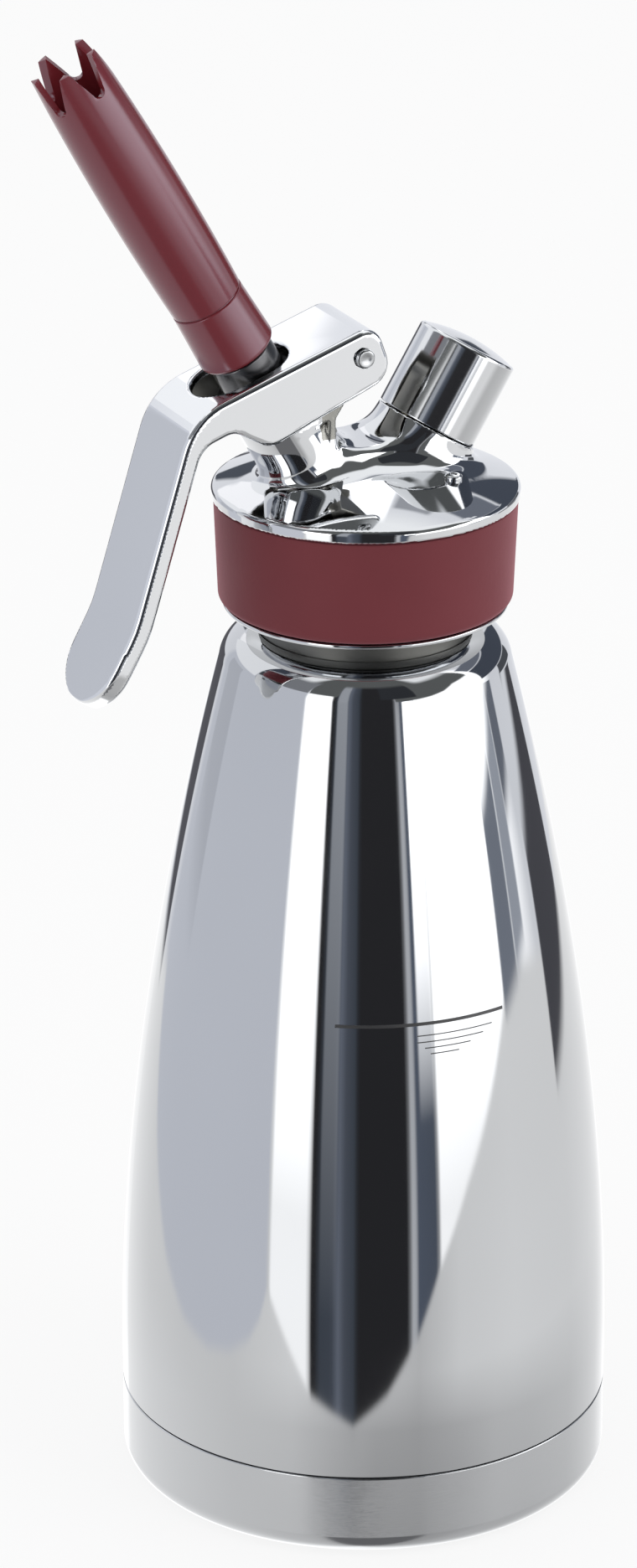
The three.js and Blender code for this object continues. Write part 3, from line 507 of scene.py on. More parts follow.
def rounded_outline(corners):
    """Corners of (along the arm, up, radius) made into points with rounded corners."""
    points = []
    flat = [np.array([-along, up], float) for along, up, _ in corners]
    for i, (here, (_, _, radius)) in enumerate(zip(flat, corners)):
        if radius == 0:
            points.append(here)
            continue
        before, after = flat[i - 1] - here, flat[(i + 1) % len(flat)] - here
        u, v = before / np.linalg.norm(before), after / np.linalg.norm(after)
        points += corner_arc(here, u, v, radius)
    return points


# Materials
def fill(socket, value):
    """Sets an input to a number, vector or colour, or links it to an output."""
    if isinstance(value, bpy.types.NodeSocket):
        socket.id_data.links.new(value, socket)
    elif socket.type == "RGBA":
        socket.default_value = (*value, 1)
    else:
        socket.default_value = value


def add_node(tree, kind, inputs, **settings):
    """A node with its settings, and its inputs filled by name or number."""
    node = tree.nodes.new("ShaderNode" + kind)
    for name, value in settings.items():
        setattr(node, name, value)
    for key, value in inputs.items():
        fill(node.inputs[key], value)
    return node


def set_shader(material, **values):
    """Fills inputs of the material's shader, named with _ for each space."""
    for name, value in values.items():
        fill(material.node_tree.nodes["Principled BSDF"].inputs[name.replace("_", " ")], value)


def new_material(name, colour, roughness, metallic):
    material = bpy.data.materials.new(name)
    material.use_nodes = True
    set_shader(material, Base_Color=colour, Roughness=roughness, Metallic=metallic)
    material.diffuse_color = (*colour, 1)
    return material


def from_srgb(*values):
    return tuple(((v / 255 + 0.055) / 1.055) ** 2.4 if v > 10 else v / 255 / 12.92 for v in values)


# The share of the noise that the looks are spread over
NOISE_LOW, NOISE_HIGH = 0.3, 0.7


def noise(material, scale, detail, stretch=(1, 1, 1)):
    """Noise over the object's own coordinates, per metre, stretched along the axes."""
    tree = material.node_tree
    place = add_node(tree, "TexCoord", {}).outputs["Object"]
    mapped = add_node(tree, "Mapping", {"Vector": place, "Scale": stretch}).outputs[0]
    inputs = {"Vector": mapped, "Scale": scale, "Detail": detail}
    return add_node(tree, "TexNoise", inputs).outputs["Fac"]


def spread_roughness(material, value, low, high):
    """The noise moves the roughness between two numbers."""
    inputs = {0: value, 1: NOISE_LOW, 2: NOISE_HIGH, 3: low, 4: high}
    node = add_node(material.node_tree, "MapRange", inputs)
    set_shader(material, Roughness=node.outputs["Result"])


def tint(material, value, low, high):
    """The noise mixes two base colours."""
    ramp = add_node(material.node_tree, "ValToRGB", {"Fac": value})
    stops = ((NOISE_LOW, low), (NOISE_HIGH, high))
    for element, (position, colour) in zip(ramp.color_ramp.elements, stops):
        element.position = position
        element.color = (*colour, 1)
    set_shader(material, Base_Color=ramp.outputs["Color"])


def bump(material, value, depth):
    """Relief of the given depth in metres."""
    node = add_node(material.node_tree, "Bump", {"Height": value, "Distance": depth})
    set_shader(material, Normal=node.outputs["Normal"])


def metal(name, colour, roughness, rougher, grain=None, depth=0):
    """A metal with faint unevenness of tint and polish. Grain is its brush marks' stretch."""
    material = new_material(name, colour, roughness, 1)
    spread_roughness(material, noise(material, 35, 4), roughness, rougher)
    tint(material, noise(material, 14, 2), tuple(0.96 * c for c in colour), colour)
    if grain:
        bump(material, noise(material, 400, 2, grain), depth)
    return material


def polymer(name, colour, paler, roughness, rougher, depth):
    """A plastic or rubber, its colours in sRGB, with a skin of the given depth in metres."""
    colour, paler = from_srgb(*colour), from_srgb(*paler)
    material = new_material(name, colour, roughness, 0)
    spread_roughness(material, noise(material, 60, 3), roughness, rougher)
    tint(material, noise(material, 25, 4), colour, paler)
    bump(material, noise(material, 900, 2), depth)
    return material


STEEL_COLOUR = (0.62, 0.63, 0.645)
CHROME_COLOUR = (0.7, 0.71, 0.725)
steel_mirror = metal("polished_steel", STEEL_COLOUR, 0.03, 0.06)
steel_satin = metal("satin_steel", (0.4, 0.4, 0.4), 0.22, 0.3, (1, 1, 40), 0.00001)
steel_cup = metal("satin_cup", STEEL_COLOUR, 0.1, 0.16, (1, 1, 30), 0.000004)
steel_turned = metal("turned_steel", (0.45, 0.46, 0.47), 0.16, 0.24, (1, 1, 30), 0.00001)
chrome = metal("chromed_casting", CHROME_COLOUR, 0.02, 0.05)
# The lever's chrome is a paler copy of the casting's chrome: painted light, so the lever reads
# brighter.
chrome_lever_painted_light = metal("chromed_lever_painted_light", (0.81, 0.82, 0.835), 0.06, 0.1)
chrome_cap = metal("chromed_cap", CHROME_COLOUR, 0.06, 0.1)
# Steel of the neck ring, much darker than the other steel: painted shade for the narrow gap between
# the head and the flask's shoulder.
neck_painted_shade = metal("satin_neck_painted_shade", (0.17, 0.17, 0.16), 0.4, 0.5, (1, 1, 40), 0.00001)
cast_dull = metal("dull_casting", (0.34, 0.335, 0.31), 0.35, 0.45)
# Near-black steel of the valve stem: painted shade for the dark hole in the lever round the stem's
# collar.
stem_painted_shade_steel = metal("stem_painted_shade_steel", (0.13, 0.13, 0.135), 0.2, 0.3)
brass = metal("plated_brass", (0.66, 0.6, 0.47), 0.2, 0.3, (1, 1, 20), 0.00001)
spring_steel = metal("spring_wire", (0.45, 0.47, 0.5), 0.2, 0.32)
burgundy = polymer("burgundy_silicone", (102, 42, 48), (110, 47, 53), 0.55, 0.62, 0.00002)
burgundy_gloss = polymer("burgundy_plastic", (108, 33, 39), (113, 36, 42), 0.18, 0.22, 0.000003)
set_shader(burgundy, Specular_IOR_Level=0.25, Sheen_Weight=0.4)
set_shader(burgundy, Sheen_Roughness=0.45, Sheen_Tint=(1, 0.42, 0.5))
set_shader(burgundy_gloss, Specular_IOR_Level=1, Specular_Tint=(0.76, 0.86, 1))
silicone_pale = polymer("pale_silicone", (214, 211, 204), (222, 219, 212), 0.5, 0.6, 0.00002)
rubber = polymer("black_rubber", (34, 35, 37), (44, 45, 47), 0.5, 0.65, 0.00002)
etched = metal("etched_mark", from_srgb(96, 96, 97), 0.5, 0.62)


def dress(piece, body, slot, material, *nodes):
    """Gives a piece its material and body, and hides the CAD nodes that it stands for. The slot is
    not used.
    """
    piece.data.materials.clear()
    piece.data.materials.append(material)
    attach(piece, body)
    if nodes:
        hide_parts(*nodes)
    return piece


# Flask
def wall_radius(height):
    share = max(0.0, (height - STRAIGHT_HEIGHT) / (SHOULDER_HEIGHT - STRAIGHT_HEIGHT))
    return BASE_RADIUS - (BASE_RADIUS - SHOULDER_RADIUS) * share**FLARE_POWER


def wall_lean(height):
    """The angle of the wall's face above level."""
    return math.atan(wall_radius(height - 0.5) - wall_radius(height + 0.5))


def outer_shell():
    foot = SEAM_HEIGHT + GAP / 2
    round_inside = SHOULDER_ROUND - SHELL_WALL
    centre = SHOULDER_TOP - SHOULDER_ROUND
    lean = wall_lean(centre)
    round_foot = centre + SHOULDER_ROUND * math.sin(lean)
    centre_radius = wall_radius(round_foot) - SHOULDER_ROUND * math.cos(lean)
    heights = np.linspace(STRAIGHT_HEIGHT, round_foot, 60)
    outside = [(wall_radius(h), h) for h in heights]
    inside = [(r - SHELL_WALL, h) for r, h in outside[::-5]]
    hole = NECK_RADIUS + GAP
    start = math.degrees(lean)
    end = math.degrees(math.acos((hole - centre_radius) / SHOULDER_ROUND))
    return lathe(
        "shell_polished",
        [(BASE_RADIUS - SHELL_WALL, foot)]
        + foot_round(BASE_RADIUS, foot, EDGE)
        + outside
        + arc(SHOULDER_ROUND, centre_radius, centre, start, end, 20)[1:]
        + arc(round_inside, centre_radius, centre, end, start)
        + inside,
        192,
    )


def base_cup():
    hole = PLUG_RADIUS + GAP
    lip = BASE_RADIUS - SHELL_WALL - GAP
    top = SEAM_HEIGHT - GAP / 2
    lip_top = SEAM_HEIGHT + LIP_HEIGHT
    return lathe(
        "cup_satin",
        [(hole, 0)]
        + foot_round(BASE_RADIUS, 0, BASE_ROUND, 14)
        + top_round(BASE_RADIUS, top, EDGE)
        + [(lip, top), (lip, lip_top), (lip - 1, lip_top)]
        + foot_round(lip - 1, BASE_FLOOR, BASE_ROUND, 8)[::-1]
        + [(hole, BASE_FLOOR)],
        192,
    )


def inner_flask():
    def outer(height):
        return wall_radius(height) - SHELL_WALL - VACUUM_GAP

    side = FLASK_FLOOR + FLASK_FLOOR_ROUND
    heights = np.linspace(side, FLASK_SHOULDER, 30)
    centre = outer(side) - FLASK_FLOOR_ROUND
    neck = FLASK_SHOULDER + 4
    outside = [(outer(h), h) for h in heights[1:]]
    inside = [(r - FLASK_WALL, h) for r, h in outside[::-1]]
    rim = MOUTH_HEIGHT - MOUTH_RIM
    mouth = [
        (MOUTH_BORE + FLASK_WALL, rim), (NECK_RADIUS, rim), (NECK_RADIUS, MOUTH_HEIGHT),
        (MOUTH_BORE, MOUTH_HEIGHT),
    ]
    return lathe(
        "flask_inner",
        [(0, FLASK_FLOOR)]
        + arc(FLASK_FLOOR_ROUND, centre, side, -90, 0)
        + outside
        + [(MOUTH_BORE + FLASK_WALL, neck)]
        + softened(mouth, 0.4, closed=False)
        + [(MOUTH_BORE, neck)]
        + inside
        + arc(FLASK_FLOOR_ROUND - FLASK_WALL, centre, side, 0, -90)
        + [(0, FLASK_FLOOR + FLASK_WALL)],
        128,
    )


def thread(radius, pitch, depth, foot, top, run_out=1.5):
    """The outline's points along a rounded thread, and its cut, which fades out at both ends."""

    def cut(height, turn, at):
        if abs(at - radius) > 1e-6:
            return 0
        phase = (height / pitch - turn / (2 * math.pi)) % 1
        form = 0.5 - 0.5 * np.cos(2 * math.pi * phase)
        return depth * np.clip(min(height - foot, top - height) / run_out, 0, 1) * form

    return [(radius, h) for h in np.arange(foot, top + 1e-6, pitch / 10)], cut


def neck_ring():
    foot = SHOULDER_TOP - SHELL_WALL - 1.1
    rows, cut = thread(NECK_RADIUS, 3, 0.8, NECK_THREAD_FOOT, NECK_THREAD_TOP)
    outline = [(NECK_BORE, foot), (NECK_RADIUS - EDGE, foot), (NECK_RADIUS, foot + EDGE), *rows]
    outline += [(NECK_RADIUS, NECK_TOP - EDGE), (NECK_RADIUS - EDGE, NECK_TOP)]
    return lathe("neck_threaded", outline + [(NECK_BORE, NECK_TOP)], 96, cut=cut)


def vacuum_plug():
    shank, flange, rim = 1.5, 2.5, PLUG_RADIUS + 2.5
    outline = [(0, 0), (PLUG_RADIUS, 0), (PLUG_RADIUS, shank), (rim, shank), (rim, flange)]
    return turned("plug_vacuum", outline + [(0, flange)], 64)


dress(outer_shell(), "bottle", "polished_steel", steel_mirror, "outer_shell")
dress(base_cup(), "bottle", "satin_steel", steel_cup, "base_cup")
dress(inner_flask(), "bottle", "satin_steel", steel_satin, "inner_flask")
dress(neck_ring(), "bottle", "satin_steel", neck_painted_shade, "neck_ring")
dress(vacuum_plug(), "bottle", "turned_steel", steel_turned, "vacuum_plug")
GETTER = [
    (0, GETTER_FOOT), (GETTER_RADIUS, GETTER_FOOT), (GETTER_RADIUS, GETTER_TOP), (0, GETTER_TOP)
]
dress(turned("cup_getter", GETTER, 64), "bottle", "turned_steel", steel_turned, "getter_cup")


# Level line and ripples, etched in the shell
def etched_line(name, height, width, left, right):
    """A thin mark along the wall between two turns in degrees from the front."""
    turns = np.radians(np.arange(left, right + 0.5, 1.0))
    low, high = height - width / 2, height + width / 2
    root = -SHELL_WALL / 2
    points = []
    for turn in turns:
        for level, lift in ((low, root), (low, ETCH_PROUD), (high, ETCH_PROUD), (high, root)):
            radius = wall_radius(level) + lift
            points.append((radius * math.sin(turn), -radius * math.cos(turn), level))
    last = 4 * (len(turns) - 1)
    faces = ring_faces(len(turns), 4, False) + [(0, 1, 2, 3), (last, last + 1, last + 2, last + 3)]
    return mesh_object(name, points, faces)


level_line = etched_line("level_line", LEVEL_HEIGHT, LEVEL_WIDTH, -34, 14)
dress(level_line, "bottle", "satin_steel", etched)
for i, (below, left, right) in enumerate(RIPPLES):
    mark = etched_line(f"level_ripple_{i + 1}", LEVEL_HEIGHT - below, RIPPLE_WIDTH, left, right)
    dress(mark, "bottle", "satin_steel", etched)


# Head
def convex_outline(points):
    """The outline round a set of points, anticlockwise."""
    kept_halves = []
    for ordered in (sorted(points), sorted(points)[::-1]):
        kept = []
        for p in ordered:
            while len(kept) > 1 and (
                (kept[-1][0] - kept[-2][0]) * (p[1] - kept[-2][1])
                - (kept[-1][1] - kept[-2][1]) * (p[0] - kept[-2][0])
            ) <= 0:
                kept.pop()
            kept.append(p)
        kept_halves += kept[:-1]
    return kept_halves


def on_valve(across, along):
    """A point in the valve's frame, as X and Z."""
    p = VALVE @ Vector((across, 0, along))
    return (p.x, p.z)


LUG_FRONT = on_valve(BOSS_RADIUS + LUG_PROUD, BOSS_TOP)
LUG_ARM = convex_outline(
    arc(LUG_EYE_RADIUS, PIN_X, PIN_Z, 0, 348, 29)
    + [LUG_FRONT, on_valve(0, LUG_ARM_START), LUG_BACK]
)
LUG_POST = [LUG_FRONT, on_valve(0, LUG_POST_START), (LUG_BACK[0], LUG_FOOT), LUG_BACK]


def head_distance(points):
    x, y, z = points.T
    radial = np.hypot(x, y)
    sphere = np.sqrt(radial**2 + (z - DOME_TOP + DOME_SPHERE) ** 2) - DOME_SPHERE
    solid = rounded_both(sphere, radial - RIM_RADIUS, RIM_ROUND)
    solid = rounded_both(solid, RIM_FOOT - z, RIM_FOOT_ROUND)
    middle = (BRIDGE_BACK - BRIDGE_FRONT) / 2
    stretch = (BRIDGE_BACK + BRIDGE_FRONT) / 2 - BRIDGE_HALF_WIDTH
    along = np.maximum(np.abs(x - middle) - stretch, 0)
    bridge = rounded_both(
        np.hypot(along, y) - BRIDGE_HALF_WIDTH,
        np.maximum(z - BRIDGE_HEIGHT, BRIDGE_FOOT - z),
        BRIDGE_ROUND,
    )
    valve = rod_distance(points, VALVE, BOSS_RADIUS, BOSS_FOOT, BOSS_TOP, BOSS_ROUND)
    charger = rod_distance(points, CHARGER, CAP_RADIUS, CHARGER_BOSS_FOOT, CHARGER_BOSS_TOP, EDGE)
    arm, post = (plate_distance(points, p, LUG_HALF_WIDTH, LUG_ROUND) for p in (LUG_ARM, LUG_POST))
    solid = blend_union(solid, bridge, BRIDGE_FILLET)
    solid = blend_union(solid, valve, BOSS_FILLET)
    solid = blend_union(solid, charger, BOSS_FILLET)
    solid = blend_union(solid, np.minimum(arm, post), LUG_FILLET)
    solid = np.maximum(solid, RIM_FOOT - z)
    top = BOSS_TOP + CUT_BEYOND
    well = rod_distance(points, VALVE, SPRING_BORE, SPRING_FOOT, top, BORE_END_ROUND)
    solid = blend_cut(solid, well, BORE_EDGE)
    top = CHARGER_BOSS_TOP + CUT_BEYOND
    socket = rod_distance(points, CHARGER, SOCKET_RADIUS, SOCKET_FOOT, top, BORE_END_ROUND)
    return blend_cut(solid, socket, SOCKET_EDGE)


head = surface("head_chromed", head_distance, (-34, -34, 219.5), (34, 34, 260))
dress(head, "head", "polished_casting", chrome, "head_casting")


# Takes in faces that lie right on a limit
MARGIN = 0.2


def dull_faces(piece, to_local, chosen):
    """The faces whose middles are chosen get a darker, rougher metal than the polished rest."""
    piece.data.materials.append(cast_dull)
    for polygon in piece.data.polygons:
        if chosen(to_local @ (polygon.center / METRES)):
            polygon.material_index = 1


def in_lever(p):
    """On the lug that the lever's cheeks hide."""
    along = HIDDEN_X[0] < p.x < HIDDEN_X[1]
    return abs(p.y) < LUG_HALF_WIDTH + MARGIN and p.z > HIDDEN_FOOT and along


dull_faces(head, IDENTITY, in_lever)


def head_skirt():
    """The part of the casting under the band, with the bright ring and the bore over the neck."""
    ring_top, skirt_top = SKIRT_HEIGHT + SKIRT_RING, RIM_FOOT + 0.4
    bore = NECK_RADIUS + GAP
    edge = 0.3
    return lathe(
        "head_skirt",
        [(0, ROOF_HEIGHT), (bore, ROOF_HEIGHT)]
        + [(bore, SKIRT_HEIGHT + edge), (bore + edge, SKIRT_HEIGHT)]
        + foot_round(SKIRT_RING_RADIUS, SKIRT_HEIGHT, edge)
        + top_round(SKIRT_RING_RADIUS, ring_top, edge)
        + [(SKIRT_RADIUS, ring_top), (SKIRT_RADIUS, skirt_top), (0, skirt_top)],
        160,
    )


def grip_band():
    foot, top = SKIRT_HEIGHT + SKIRT_RING + GAP, RIM_FOOT - GAP
    bore = SKIRT_RADIUS + GAP
    return lathe(
        "band_silicone",
        [(bore, foot)]
        + foot_round(BAND_FOOT_RADIUS, foot, BAND_ROUND, 8)
        + top_round(BAND_TOP_RADIUS, top, 0.35)
        + [(bore, top)],
        160,
    )


def channel_plug():
    reach = math.hypot(PLUG_X, PLUG_Y)
    top = DOME_TOP - DOME_SPHERE + math.sqrt(DOME_SPHERE**2 - reach**2) + 1.1
    foot = top - 4.5
    outline = [(0, foot), (CHANNEL_PLUG_RADIUS, foot)]
    outline += top_round(CHANNEL_PLUG_RADIUS, top, 0.6, 6)
    outline += [(0.9, top), (0.7, top - 0.25), (0, top - 0.35)]
    return lathe("plug_channel", outline, 48, Matrix.Translation((PLUG_X, PLUG_Y, 0)))


def lever_pin():
    face = LEVER_HALF_WIDTH + GAP
    crown = face + PIN_HEAD_HEIGHT
    half = [(PIN_RADIUS, 0), (PIN_RADIUS, face), (PIN_HEAD_RADIUS, face)]
    half += top_round(PIN_HEAD_RADIUS, crown, 0.6, 5)
    half += [(0.9, crown - 0.15), (0, crown - 0.3)]
    mirrored = [(r, -h) for r, h in half[::-1]]
    return lathe("pin_lever", mirrored + half[1:], 48, PIN)


dress(head_skirt(), "head", "polished_casting", chrome)
dress(grip_band(), "head", "burgundy_silicone", burgundy, "grip_band")
gasket = ring("gasket_mouth", *GASKET, 0.4, segments=96)
dress(gasket, "head", "pale_silicone", silicone_pale, "head_gasket")
dress(channel_plug(), "head", "turned_steel", chrome, "channel_plug")
dress(lever_pin(), "head", "turned_steel", steel_turned, "lever_pin")

# Valve. Rings round the stem: radius, foot, top and rounding, then how each is dressed
for name, radius, foot, top, rounding, *looks in (
    ("bush_valve", 4.9, 14.7, 21.5, 0.15, "head", "turned_steel", steel_turned, "valve_bush"),
    ("seal_stem", 4.9, 21.8, 23.5, 0.5, "head", "black_rubber", rubber, "stem_seal"),
    ("washer_seal", 6, 24.1, 25, 0.15, "head", "turned_steel", steel_turned, "seal_washer"),
    ("disc_valve", 7, 12, 14.4, 0.4, "valve", "black_rubber", rubber, "valve_disc"),
    ("nut_disc", 6, 9.4, 11.7, 0.3, "valve", "turned_steel", steel_turned, "disc_nut"),
):
    dress(ring(name, STEM_RADIUS + GAP, radius, foot, top, rounding, VALVE), *looks)


def valve_stem():
    neck_top = TIP_FOOT - GAP
    top = neck_top + STEM_THREAD_LENGTH
    edge, chamfer = 0.4, 0.3
    rows, cut = thread(STEM_THREAD_RADIUS, 1.5, 0.5, neck_top + 0.8, top - 0.6, 0.8)
    outline = [(STEM_BORE, STEM_FOOT + 1), (STEM_RADIUS, STEM_FOOT), (STEM_RADIUS, COLLAR_FOOT)]
    outline += foot_round(BOSS_RADIUS, COLLAR_FOOT, edge)
    outline += top_round(BOSS_RADIUS, COLLAR_FOOT + COLLAR_EDGE, 0.5)
    outline += [(STEM_NECK_RADIUS + 0.2, COLLAR_TOP - 0.05), (STEM_NECK_RADIUS, COLLAR_TOP + 0.2)]
    outline += top_round(STEM_NECK_RADIUS, neck_top, edge)
    outline += [(STEM_THREAD_RADIUS, neck_top), *rows, (STEM_THREAD_RADIUS, top - chamfer)]
    outline += [(STEM_THREAD_RADIUS - chamfer, top), (STEM_BORE, top)]
    return lathe("stem_valve", outline, 72, VALVE, cut)


dress(valve_stem(), "valve", "turned_steel", stem_painted_shade_steel, "valve_stem")


def valve_spring():
    """A wound wire with closed end coils, between the washer and the collar."""
    low = SPRING_FOOT + SPRING_WIRE
    high = COLLAR_FOOT - GAP - SPRING_WIRE
    steps = SPRING_TURNS * 40
    share = np.linspace(0, 1, steps + 1)
    turns = share * SPRING_TURNS
    # Turns that lie flat at each end
    flat = 0.75
    lift = np.clip((turns - flat) / (SPRING_TURNS - 2 * flat), 0, 1)
    rise = 2 * SPRING_WIRE * 1.05 / (high - low) * flat
    height = low + (high - low) * (
        np.minimum(turns, flat) / flat * rise
        + lift * (1 - 2 * rise)
        + np.clip(turns - SPRING_TURNS + flat, 0, flat) / flat * rise
    )
    angle = 2 * math.pi * turns
    centres = np.stack([SPRING_RADIUS * np.cos(angle), SPRING_RADIUS * np.sin(angle), height], 1)
    along = np.gradient(centres, axis=0)
    along /= np.linalg.norm(along, axis=1)[:, None]
    outward = np.stack([np.cos(angle), np.sin(angle), np.zeros(steps + 1)], 1)
    upward = np.cross(along, outward)
    sides = 12
    around = np.linspace(0, 2 * math.pi, sides, endpoint=False)
    points = (
        centres[:, None]
        + SPRING_WIRE * np.cos(around)[None, :, None] * outward[:, None]
        + SPRING_WIRE * np.sin(around)[None, :, None] * upward[:, None]
    ).reshape(-1, 3)
    faces = ring_faces(steps + 1, sides, False)
    faces += [tuple(range(sides)), tuple(range(steps * sides, (steps + 1) * sides))]
    return mesh_object("spring_valve", points, faces, VALVE, 50)


spring = dress(valve_spring(), "head", "spring_steel", spring_steel, "valve_spring")
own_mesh(spring)


# Decorator tip
def tip_body():
    teeth_foot = TIP_END - TOOTH_DEPTH
    bore_top = TIP_END_RADIUS - TIP_WALL
    bore_foot = TIP_SEAM_RADIUS - TIP_WALL - 0.35
    socket_top = TIP_FOOT + TIP_SOCKET_DEPTH
    seam_floor = TIP_SEAM_RADIUS - 0.4
    # Heights at the seam: middle of the lower lip, floor from and to, middle of the upper lip, side
    lower_lip, floor_foot, floor_top, upper_lip, side_foot = (
        TIP_SEAM + rise for rise in (-0.45, -0.15, 0.05, 0.4, 0.6)
    )
    outline = [(TIP_SOCKET_RADIUS, TIP_FOOT)] + foot_round(TIP_FOOT_RADIUS, TIP_FOOT, 1.2, 10)
    outline += arc(EDGE, TIP_SEAM_RADIUS - EDGE, lower_lip, 0, 70, 3)
    outline += [(seam_floor, floor_foot), (seam_floor, floor_top)]
    outline += arc(0.3, TIP_SEAM_RADIUS - 0.33, upper_lip, -70, 0, 3)
    for share in np.linspace(0, 1, 16)[1:]:
        swell = TIP_BELLY * (1 - (2 * share - 1) ** 2)
        radius = TIP_SEAM_RADIUS + (TIP_END_RADIUS - TIP_SEAM_RADIUS) * share + swell
        outline.append((radius, side_foot + (teeth_foot - side_foot) * share))
    for share in (0.33, 0.67, 1):
        outline.append((TIP_END_RADIUS - TOOTH_LEAN * share, teeth_foot + TOOTH_DEPTH * share))
    outline += [(bore_top - TOOTH_LEAN, TIP_END), (bore_top, teeth_foot)]
    outline += [(bore_foot, TIP_SEAM + 0.35), (bore_foot, socket_top)]
    outline += [(TIP_SOCKET_RADIUS, socket_top)]
    return lathe("tip_burgundy", outline, 120)


def notch_outline():
    half_gap = TOOTH_GAP_WIDTH / 2
    half_mouth = math.pi * TIP_END_RADIUS / TOOTH_COUNT - TOOTH_TOP_WIDTH / 2
    slope = (half_mouth - half_gap) / (TOOTH_DEPTH - half_gap)
    foot = TIP_END - TOOTH_DEPTH + half_gap
    reach = 6
    top = half_mouth + reach * slope
    points = [(top, TIP_END + reach), (-top, TIP_END + reach), (-half_gap, foot)]
    points += [
        (half_gap * math.cos(a), foot + half_gap * math.sin(a))
        for a in np.linspace(math.pi, 2 * math.pi, 17)[1:]
    ]
    return points


def cut_teeth(tip):
    """Cuts the notches between the teeth, then rounds every edge at the mouth a little."""
    outline = notch_outline()
    work = bmesh.new()
    for i in range(TOOTH_COUNT):
        turn = Matrix.Rotation(TOOTH_TURN + 2 * math.pi * i / TOOTH_COUNT, 4, "Z")
        near, far = (
            [work.verts.new((turn @ Vector((x, y, z))) * METRES) for x, z in outline]
            for y in (-0.5, -14)
        )
        work.faces.new(near)
        work.faces.new(far[::-1])
        for k in range(len(outline)):
            n = (k + 1) % len(outline)
            work.faces.new((near[n], near[k], far[k], far[n]))
    bmesh.ops.recalc_face_normals(work, faces=work.faces)
    mesh = bpy.data.meshes.new("notches")
    work.to_mesh(mesh)
    work.free()
    cutter = bpy.data.objects.new("notches", mesh)
    bpy.context.scene.collection.objects.link(cutter)
    tip.modifiers.clear()
    cut = tip.modifiers.new("teeth", "BOOLEAN")
    cut.operation = "DIFFERENCE"
    cut.solver = "EXACT"
    cut.use_self = True
    cut.object = cutter
    bevel = tip.modifiers.new("edges", "BEVEL")
    bevel.width = TOOTH_ROUND * METRES
    bevel.segments = 2
    bevel.limit_method = "ANGLE"
    bevel.angle_limit = math.radians(50)
    bake_modifiers(tip)
    bpy.data.objects.remove(cutter)
    tip.data.transform(Matrix.Scale(METRES, 4) @ VALVE @ Matrix.Scale(1 / METRES, 4))
    shade_smooth(tip.data)
    tip.data.set_sharp_from_angle(angle=math.radians(40))
    return weighted(tip)


def bake_modifiers(piece):
    """The piece keeps the mesh that its modifiers make, without them."""
    bpy.context.view_layer.update()
    shown = piece.evaluated_get(bpy.context.evaluated_depsgraph_get())
    mesh = bpy.data.meshes.new_from_object(shown)
    piece.modifiers.clear()
    piece.data = mesh


dress(cut_teeth(tip_body()), "tip", "burgundy_plastic", burgundy_gloss, "decorator_tip")
insert = ring(
    "insert_tip", STEM_THREAD_RADIUS + GAP, TIP_SOCKET_RADIUS - GAP, TIP_FOOT + GAP,
    TIP_FOOT + TIP_SOCKET_DEPTH - GAP, matrix=VALVE,
)
dress(insert, "tip", "turned_steel", steel_turned, "tip_insert")


# Charger side
def charger_spigot():
    shank, foot, chamfer = 6, 18.5, 0.4
    rows, cut = thread(SPIGOT_RADIUS, 1.8, 0.7, SPIGOT_FOOT + 1, SPIGOT_TOP - 0.8)
    outline = [(GAS_BORE, foot), (shank, foot), (shank, SPIGOT_FOOT)]
    outline += [(SPIGOT_RADIUS, SPIGOT_FOOT), *rows]
    outline += [(SPIGOT_RADIUS, SPIGOT_TOP - chamfer), (SPIGOT_RADIUS - chamfer, SPIGOT_TOP)]
    outline += [(CHARGER_BORE + 0.5, SPIGOT_TOP), (CHARGER_BORE, SPIGOT_TOP - 0.5)]
    outline += [(CHARGER_BORE, BORE_FLOOR), (GAS_BORE, BORE_FLOOR)]
    return lathe("spigot_charger", outline, 96, CHARGER, cut)


def piercing_pin():
    radius, foot, shoulder, point = 1.4, BORE_FLOOR - 5.5, BORE_FLOOR + 4, BORE_FLOOR + 5.5
    outline = [(0, foot), (radius, foot), (radius, shoulder), (0.15, point - 0.05), (0, point)]
    return lathe("pin_piercing", outline, 40, CHARGER)


dress(charger_spigot(), "head", "plated_brass", brass, "charger_spigot")
dress(piercing_pin(), "head", "turned_steel", steel_turned, "piercing_pin")
seal = ring("seal_charger", *CHARGER_SEAL, 0.5, CHARGER)
dress(seal, "head", "black_rubber", rubber, "charger_seal")
check_valve = ring("valve_check", *CHECK_VALVE, 0.4, CHARGER)
dress(check_valve, "head", "pale_silicone", silicone_pale, "gas_check_valve")


def charger_cap():
    foot, chamfer, edge = SPIGOT_FOOT, 0.3, 0.9
    bore = CAP_RADIUS - CAP_WALL
    roof = CAP_TOP - CAP_WALL
    crown_rim = CAP_RADIUS - edge
    rise = CAP_CROWN - 0.55
    crown_radius = (crown_rim**2 + rise**2) / (2 * rise)
    crown = [
        (r, CAP_TOP + CAP_CROWN - crown_radius + math.sqrt(crown_radius**2 - r * r))
        for r in np.linspace(crown_rim, 0, 16)
    ]
    outline = [(0, roof), (bore - 1, roof), (bore, roof - 1)]
    outline += [(bore, foot + chamfer), (bore + chamfer, foot)]
    outline += foot_round(CAP_RADIUS, foot, EDGE)
    outline += arc(edge, crown_rim, CAP_TOP + CAP_CROWN - rise - edge + 0.02, 0, 72, 7)
    outline += crown
    return lathe("cap_chromed", outline, 144, CHARGER)


dress(charger_cap(), "cap", "polished_casting", chrome_cap, "charger_cap")


# Lever
TOE = HANDLE @ Matrix.Translation((-HANDLE_STRAIGHT, 0, 0)) @ Matrix.Rotation(TOE_TURN, 4, "Y")


